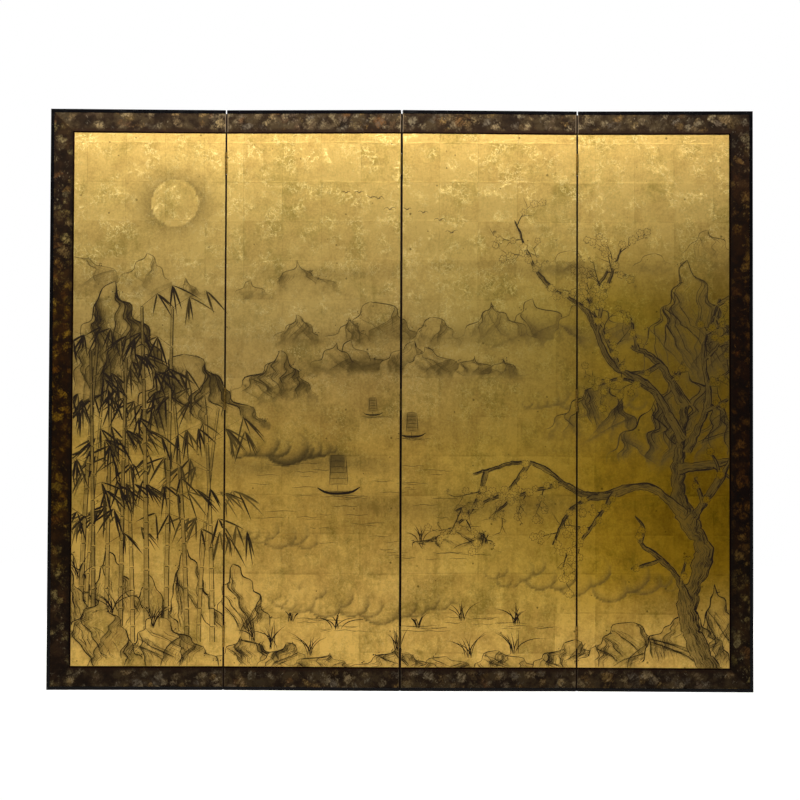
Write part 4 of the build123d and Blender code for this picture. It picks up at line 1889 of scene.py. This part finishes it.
@dataclass
class PaintedSheet:
    """One leaf's gilded sheet, with its share of the picture as brush strokes in low relief.

    A stroke's edge is sunk under the gold, and its crest stands proud by a little and by its ink's body.
    """

    number: int
    board: Board
    start: float
    picture: Picture
    wash: np.ndarray
    pitch: float = 5.0
    sunk: float = 0.04
    proud: float = 0.05
    body: float = 0.06
    blunt: float = 0.06
    edge_ink: float = 0.8
    margin: float = 0.4
    map_border: float = 0.02
    made: SheetMesh = field(default_factory=SheetMesh)
    hidden_faces: int = 0

    def build(self, gold: bpy.types.Material) -> bpy.types.Object:
        """Makes the sheet and puts it in place of the frame's plain one.

        Args:
            gold: the finish.

        Returns:
            The painted sheet.
        """
        self.sheet()
        for stroke in self.picture.strokes:
            for path, halves in self.pieces(stroke):
                self.ridge(path, halves, stroke.ink)
        spots = np.vstack(self.made.points)
        mesh = bpy.data.meshes.new(f"leaf_{self.number}_painting")
        mesh.from_pydata(self.board.place(spots * MM), [], self.made.faces)
        ink = mesh.attributes.new("ink", "FLOAT", "POINT")
        ink.data.foreach_set("value", np.concatenate(self.made.inks).astype(np.float32))
        self.unwrap(mesh, spots)
        mesh.materials.append(gold)
        piece = bpy.data.objects.new(mesh.name, mesh)
        bpy.context.scene.collection.objects.link(piece)
        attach(piece, f"leaf_{self.number}")
        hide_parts(f"leaf_{self.number}_painted_panel")
        return piece

    def sampled(self, spots: np.ndarray) -> np.ndarray:
        """The wash at points of this sheet, between the cells.

        Args:
            spots: rows that start with along and up.

        Returns:
            A value for each point.
        """
        wash = self.wash
        across = (spots[:, 0] + self.start) / self.picture.cell
        up = spots[:, 1] / self.picture.cell
        column = np.clip(across.astype(int), 0, wash.shape[1] - 2)
        row = np.clip(up.astype(int), 0, wash.shape[0] - 2)
        right, above = across - column, up - row
        lower = wash[row, column] * (1 - right) + wash[row, column + 1] * right
        upper = wash[row + 1, column] * (1 - right) + wash[row + 1, column + 1] * right
        return lower * (1 - above) + upper * above

    def sheet(self) -> None:
        """The sheet itself: a fine grid for the face, its four edges and its back."""
        width, height = self.board.width / MM, self.board.height / MM
        columns, rows = round(width / self.pitch), round(height / self.pitch)
        across, up = np.meshgrid(np.linspace(0, width, columns + 1), np.linspace(0, height, rows + 1))
        face = np.column_stack([across.ravel(), up.ravel(), np.zeros(across.size)])
        self.made.add(face, self.sampled(face))
        number = np.arange(across.size).reshape(across.shape)
        rim = np.concatenate([number[0, :-1], number[:-1, -1], number[-1, :0:-1], number[:0:-1, 0]])
        back = face[rim] - (0.0, 0.0, self.board.thickness / MM)
        first = self.made.add(back, np.zeros(len(rim)))
        behind = list(range(first, first + len(rim)))
        sides = zip(rim, np.roll(rim, -1), np.roll(behind, -1), behind)
        quads = zip(number[:-1, :-1].flat, number[:-1, 1:].flat, number[1:, 1:].flat, number[1:, :-1].flat)
        self.made.faces.append(tuple(reversed(behind)))
        self.made.faces += [(b, a, d, c) for a, b, c, d in sides]
        self.hidden_faces = len(self.made.faces)
        self.made.faces += list(quads)

    def pieces(self, stroke: Stroke) -> Iterator[tuple[np.ndarray, np.ndarray]]:
        """The parts of a stroke that lie on this sheet, cut off at its edges.

        Args:
            stroke: a stroke anywhere on the painting.

        Yields:
            The path and the half widths of each part.
        """
        low, high = self.margin, self.board.width / MM - self.margin
        across = stroke.path[:, 0] - self.start
        rows = np.column_stack([across, stroke.path[:, 1], stroke.halves])
        on = (across > low) & (across < high)
        edges = np.flatnonzero(np.diff(np.concatenate([[0], on, [0]])))
        for first, last in zip(edges[::2], edges[1::2]):
            path = list(rows[first:last])
            for end, inner, outer in ((0, first, first - 1), (len(path), last - 1, last)):
                if 0 <= outer < len(rows):
                    bound = low if across[outer] <= low else high
                    share = (bound - across[inner]) / (across[outer] - across[inner])
                    path.insert(end, rows[inner] + (rows[outer] - rows[inner]) * share)
            if len(path) > 1:
                held = np.array(path)
                yield held[:, :2], held[:, 2]

    def ridge(self, path: np.ndarray, halves: np.ndarray, ink: float) -> None:
        """A brush stroke as a closed low ridge, with a point at each end.

        Args:
            path: the middle line, along and up.
            halves: half the width at each point.
            ink: how dark it is.
        """
        where = np.arange(len(path))
        stops = np.concatenate([[0, self.blunt], where[1:-1], [where[-1] - self.blunt, where[-1]]])
        line = np.column_stack([np.interp(stops, where, axis) for axis in path.T])
        halves = np.interp(stops, where, halves)
        heading = np.gradient(line, axis=0)
        heading /= np.maximum(np.hypot(*heading.T), 1e-6)[:, None]
        left = np.column_stack([-heading[:, 1], heading[:, 0]]) * halves[:, None]
        count = len(line) - 2
        body = np.stack([line[1:-1] + left[1:-1], line[1:-1], line[1:-1] - left[1:-1]], 1).reshape(-1, 2)
        flat = np.vstack([line[:1], body, line[-1:]])
        width, height = self.board.width / MM, self.board.height / MM
        flat = flat.clip(self.margin, (width - self.margin, height - self.margin))
        crest = np.full(len(flat), -self.sunk)
        crest[2:-1:3] = self.proud + self.body * ink
        share = np.full(len(flat), self.edge_ink * ink)
        share[2:-1:3] = ink
        soaked = self.sampled(flat)
        first = self.made.add(np.column_stack([flat, crest]), 1 - (1 - soaked) * (1 - share))
        faces = self.made.faces
        end = first + 1 + 3 * count
        rows = [(first + 1 + 3 * n, first + 2 + 3 * n, first + 3 + 3 * n) for n in range(count)]
        (l0, c0, r0), (l1, c1, r1) = rows[0], rows[-1]
        faces += [(first, l0, r0), (l1, end, r1)]
        faces += [(la, lb, rb, ra) for (la, _, ra), (lb, _, rb) in zip(rows, rows[1:])]
        faces += [(first, c0, l0), (first, r0, c0), (l1, c1, end), (c1, r1, end)]
        for (la, ca, ra), (lb, cb, rb) in zip(rows, rows[1:]):
            faces += [(la, ca, cb, lb), (ca, ra, rb, cb)]

    def unwrap(self, mesh: bpy.types.Mesh, spots: np.ndarray) -> None:
        """Maps the face flat, and the edges and the back into a border beside it.

        Args:
            mesh: the finished mesh.
            spots: its points as rows of along, up and proud.
        """
        border = self.map_border
        far, right_edge, near = 1 - 0.8 * border, 1 - 0.45 * border, 0.1 * border
        layer = mesh.uv_layers.new(name="OFBake")
        corners = np.empty(len(mesh.loops), int)
        mesh.loops.foreach_get("vertex_index", corners)
        flat = spots[corners]
        size = np.array([self.board.width, self.board.height]) / MM
        uv = border + (1 - 2 * border) * flat[:, :2] / size
        hidden = sum(len(face) for face in self.made.faces[: self.hidden_faces])
        back = len(self.made.faces[0])
        uv[:back] = uv[:back] * (0.3 * border, 1.0) + (far, 0.0)
        sides = flat[back:hidden]
        depth = 0.4 * border * -sides[:, 2] / (self.board.thickness / MM)
        level = np.repeat(np.isclose(sides[0::4, 1], sides[1::4, 1]), 4)[:, None]
        # the top and bottom edges lie above and below the face, and the left and right ones beside it
        topped = np.column_stack([uv[back:hidden, 0], depth + np.where(sides[:, 1] > 1, far, near)])
        sided = np.column_stack([depth + np.where(sides[:, 0] > 1, right_edge, near), uv[back:hidden, 1]])
        uv[back:hidden] = np.where(level, topped, sided)
        layer.data.foreach_set("uv", uv.clip(0, 1).ravel().astype(np.float32))


@dataclass(frozen=True)
class Lamp:
    """An area lamp: where it hangs, the point that it faces, its two sides and its power in watts."""

    name: str
    at: Point
    aim: Point
    size: Pair
    watts: float
    colour: Colour = (1.0, 0.97, 0.9)

    def build(self) -> None:
        """Hangs the lamp, which only what it lights can see."""
        data = bpy.data.lights.new(self.name, "AREA")
        data.shape = "RECTANGLE"
        data.size, data.size_y = self.size
        data.energy = self.watts
        data.color = self.colour
        lamp = bpy.data.objects.new(self.name, data)
        lamp.location = self.at
        lamp.rotation_euler = (Vector(self.aim) - Vector(self.at)).to_track_quat("-Z", "Y").to_euler()
        lamp.visible_camera = False
        bpy.context.scene.collection.objects.link(lamp)


@dataclass(frozen=True)
class Studio:
    """The pale floor, the lamps and the camera."""

    distance: float = 7.0
    camera_height: float = 0.49
    roll: float = math.radians(0.21)
    focal_length: float = 121.05
    aim: Point = (-0.0023, 0.0, -0.0009)
    floor_radius: float = 14.0
    floor_colour: Colour = tint(222, 221, 218)
    floor_lift: float = 0.76
    room: Step = Step(0.05, 0.4, 0.03, 1.0)
    fill: float = 0.35
    lamps: tuple[Lamp, ...] = (
        Lamp("picture_light", (-0.12, -0.7, 2.0), (-0.12, 0.0, 1.3), (2.2, 0.12), 30.5),
        Lamp("low_strip", (-0.3, -0.7, 0.08), (-0.3, 0.0, 0.1), (2.0, 0.12), 0.2),
        Lamp("side_light", (-1.3, -1.0, 1.0), (-0.4, 0.0, 0.7), (0.3, 1.4), 1.3),
        Lamp("back_fill", (0.6, 4.2, 2.6), (0.0, 0.0, 0.7), (2.6, 2.6), 85.0),
    )

    def build(self) -> None:
        """Makes all of it."""
        self.floor()
        self.world()
        for lamp in self.lamps:
            lamp.build()
        self.camera()

    def floor(self) -> None:
        """A pale disc to stand on, which keeps the screen's shadow."""
        mixing = Recipe.of_material("pale_floor")
        path = mixing.node("LightPath").outputs
        seen = mixing.maths("MAXIMUM", path["Is Camera Ray"], path["Is Glossy Ray"])
        seen = mixing.maths("MAXIMUM", seen, path["Is Transmission Ray"])
        paint = mixing.node("BsdfDiffuse", {"Color": self.floor_colour})
        strength = mixing.maths("MULTIPLY", seen, self.floor_lift)
        lift = mixing.node("Emission", {"Color": WHITE, "Strength": strength})
        both = mixing.node("AddShader", {0: paint.outputs[0], 1: lift.outputs[0]})
        mixing.feed(mixing.output.inputs["Surface"], both.outputs[0])
        rim = [(x, y, 0.0) for x, y in circle((0.0, 0.0), self.floor_radius, 96)[:-1]]
        mesh = bpy.data.meshes.new("floor")
        mesh.from_pydata(rim, [], [range(len(rim))])
        mesh.materials.append(mixing.holder)
        floor = bpy.data.objects.new("floor", mesh)
        bpy.context.scene.collection.objects.link(floor)

    def world(self) -> None:
        """A white room behind the screen and a dark one in front, which the gold mirrors softly."""
        mixing = Recipe.of_world("studio")
        bpy.context.scene.world = mixing.holder
        depth = mixing.axes(mixing.node("TexCoord").outputs["Generated"])["Y"]
        mirrored = mixing.step(depth, self.room)
        path = mixing.node("LightPath").outputs
        glossy = mixing.maths("MAXIMUM", path["Is Glossy Ray"], path["Is Transmission Ray"])
        level = mixing.maths("MAXIMUM", mixing.maths("MULTIPLY", glossy, mirrored), path["Is Camera Ray"])
        level = mixing.maths("MAXIMUM", level, mixing.scaled(glossy, -self.fill, self.fill))
        light = mixing.node("Background", {"Color": WHITE, "Strength": level})
        mixing.feed(mixing.output.inputs["Surface"], light.outputs[0])

    def camera(self) -> None:
        """The camera, square to the screen and a little below its middle."""
        low, high = (Vector(corner) for corner in CAD_BOX)
        middle = (low + high) / 2
        data = bpy.data.cameras.new("camera")
        data.lens = self.focal_length
        camera = bpy.data.objects.new("camera", data)
        camera.location = (middle.x, -self.distance, self.camera_height)
        facing = (middle + Vector(self.aim) - camera.location).to_track_quat("-Z", "Y")
        camera.rotation_mode = "QUATERNION"
        camera.rotation_quaternion = facing @ Quaternion((0.0, 0.0, 1.0), self.roll)
        bpy.context.scene.collection.objects.link(camera)
        bpy.context.scene.camera = camera


@dataclass
class Finishes:
    """The finish of every kind of piece, by a part of its name."""

    left_varnish: Stops = (
        (0.0, (1.0, 1.0, 1.0)),
        (0.1, (1.0, 1.0, 0.9)),
        (0.2, (1.0, 0.9, 0.5)),
        (0.3, (0.95, 0.7, 0.1)),
        (0.5, (0.9, 0.6, 0.06)),
        (0.65, (0.95, 0.7, 0.12)),
        (0.75, (1.0, 0.9, 0.5)),
        (0.85, (1.0, 1.0, 0.85)),
    )
    # varnish and painted shade: the right-hand strip much darker half way up than at its ends
    right_varnish_and_shade: Stops = (
        (0.07, (1.0, 1.0, 0.8)),
        (0.18, (0.62, 0.52, 0.26)),
        (0.3, (0.4, 0.22, 0.06)),
        (0.6, (0.38, 0.2, 0.05)),
        (0.8, (0.5, 0.35, 0.12)),
        (0.88, (0.7, 0.52, 0.3)),
        (0.95, (1.0, 1.0, 1.0)),
    )
    left_cover: float = 0.16
    right_cover: float = 0.1
    side_dabs: tuple[Colour, ...] = (
        tint(110, 95, 62),
        tint(120, 106, 78),
        tint(106, 90, 48),
        tint(70, 46, 26),
        tint(128, 114, 82),
        tint(104, 86, 46),
        tint(78, 48, 26),
        tint(94, 84, 66),
    )
    side_ground: tuple[Colour, ...] = (tint(14, 7, 3), tint(26, 15, 7), tint(44, 29, 16), tint(30, 20, 12))
    side_rim: Colour = tint(14, 7, 3)
    side_rim_reach: Pair = (0.02, 0.004)
    gold: bpy.types.Material = field(init=False)
    by_part: dict[str, bpy.types.Material] = field(init=False)

    def __post_init__(self) -> None:
        """Mixes them all."""
        across = MottledPaper("mottled_paper_across", Run.ACROSS).material()
        lattice = Timber("cedar_upright", Run.UPRIGHT, tint(200, 158, 110), tint(156, 110, 70))
        self.gold = GildedPaper().material()
        self.by_part = {
            "painted_panel": self.gold,
            "back_panel": BackPaper().material(),
            "border_top": across,
            "border_bottom": across,
            "leaf_1_border_side": self.side_paper("left", self.left_varnish, self.left_cover),
            "leaf_4_border_side": self.side_paper("right", self.right_varnish_and_shade, self.right_cover),
            "frame": Lacquer("black_lacquer").material(),
            "inner_bead": Lacquer("bead_lacquer", tint(15, 5, 2), tint(26, 10, 4), 0.03).material(),
            # near-black timber: a dark stain that is partly painted shade, darkening the seams between the
            # leaves
            "stiles": Timber("stained_timber_and_seam_shade", Run.UPRIGHT, tint(24, 9, 4), tint(14, 6, 3)).material(),
            "rails": Timber("cedar_across", Run.ACROSS, tint(196, 152, 104), tint(150, 104, 64)).material(),
            "lattice": lattice.material(),
            "hinge": AgedBrass("hinge_brass").material(),
            "screws": AgedBrass("screw_brass", tint(176, 144, 78)).material(),
        }

    def side_paper(self, side: str, varnish_and_shade: Stops, cover: float) -> bpy.types.Material:
        """The paper of an upright border strip, which is darker than that of the others.

        Args:
            side: which side it is on.
            varnish_and_shade: its varnish from the floor up, which on the right-hand strip is partly painted
                shade.
            cover: the share of the dabs that is missing.

        Returns:
            The finished material.
        """
        own = {"ground": self.side_ground, "dabs": self.side_dabs}
        own |= {"rim": self.side_rim, "rim_reach": self.side_rim_reach}
        return MottledPaper(f"mottled_paper_{side}", Run.UPRIGHT, varnish_and_shade, cover, **own).material()

    def dress(self, prefix: str) -> None:
        """Gives nodes their finish.

        Args:
            prefix: how their names start.
        """
        for name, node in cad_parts.items():
            if name.startswith(prefix):
                chosen = next(finish for part, finish in self.by_part.items() if part in name)
                for held in node.material_slots:
                    held.material = chosen
                LOG.info("%s finished as %s", name, chosen.name)


def main() -> None:
    """Builds everything in order."""
    logging.basicConfig(level=logging.INFO, format="%(name)s: %(message)s")
    bpy.context.scene.view_settings.view_transform = "Standard"
    Studio().build()
    finishes = Finishes()
    boards = {number: Board.of_node(f"leaf_{number}_painted_panel") for number in LEAVES}
    starts = {}
    reach = 0.0
    for number, board in boards.items():
        starts[number] = reach
        reach += board.width / MM + SEAM_STEP
    picture = Picture(reach - SEAM_STEP, boards[1].height / MM)
    for thing in Landscape(picture.rng).things():
        thing.paint(picture)
    wash = picture.soaked()
    for number, board in boards.items():
        piece = PaintedSheet(number, board, starts[number], picture, wash).build(finishes.gold)
        LOG.info("%s painted, %d faces", piece.name, len(piece.data.polygons))
    for prefix in ("leaf_", "seam_"):
        finishes.dress(prefix)


if __name__ == "__main__":
    main()
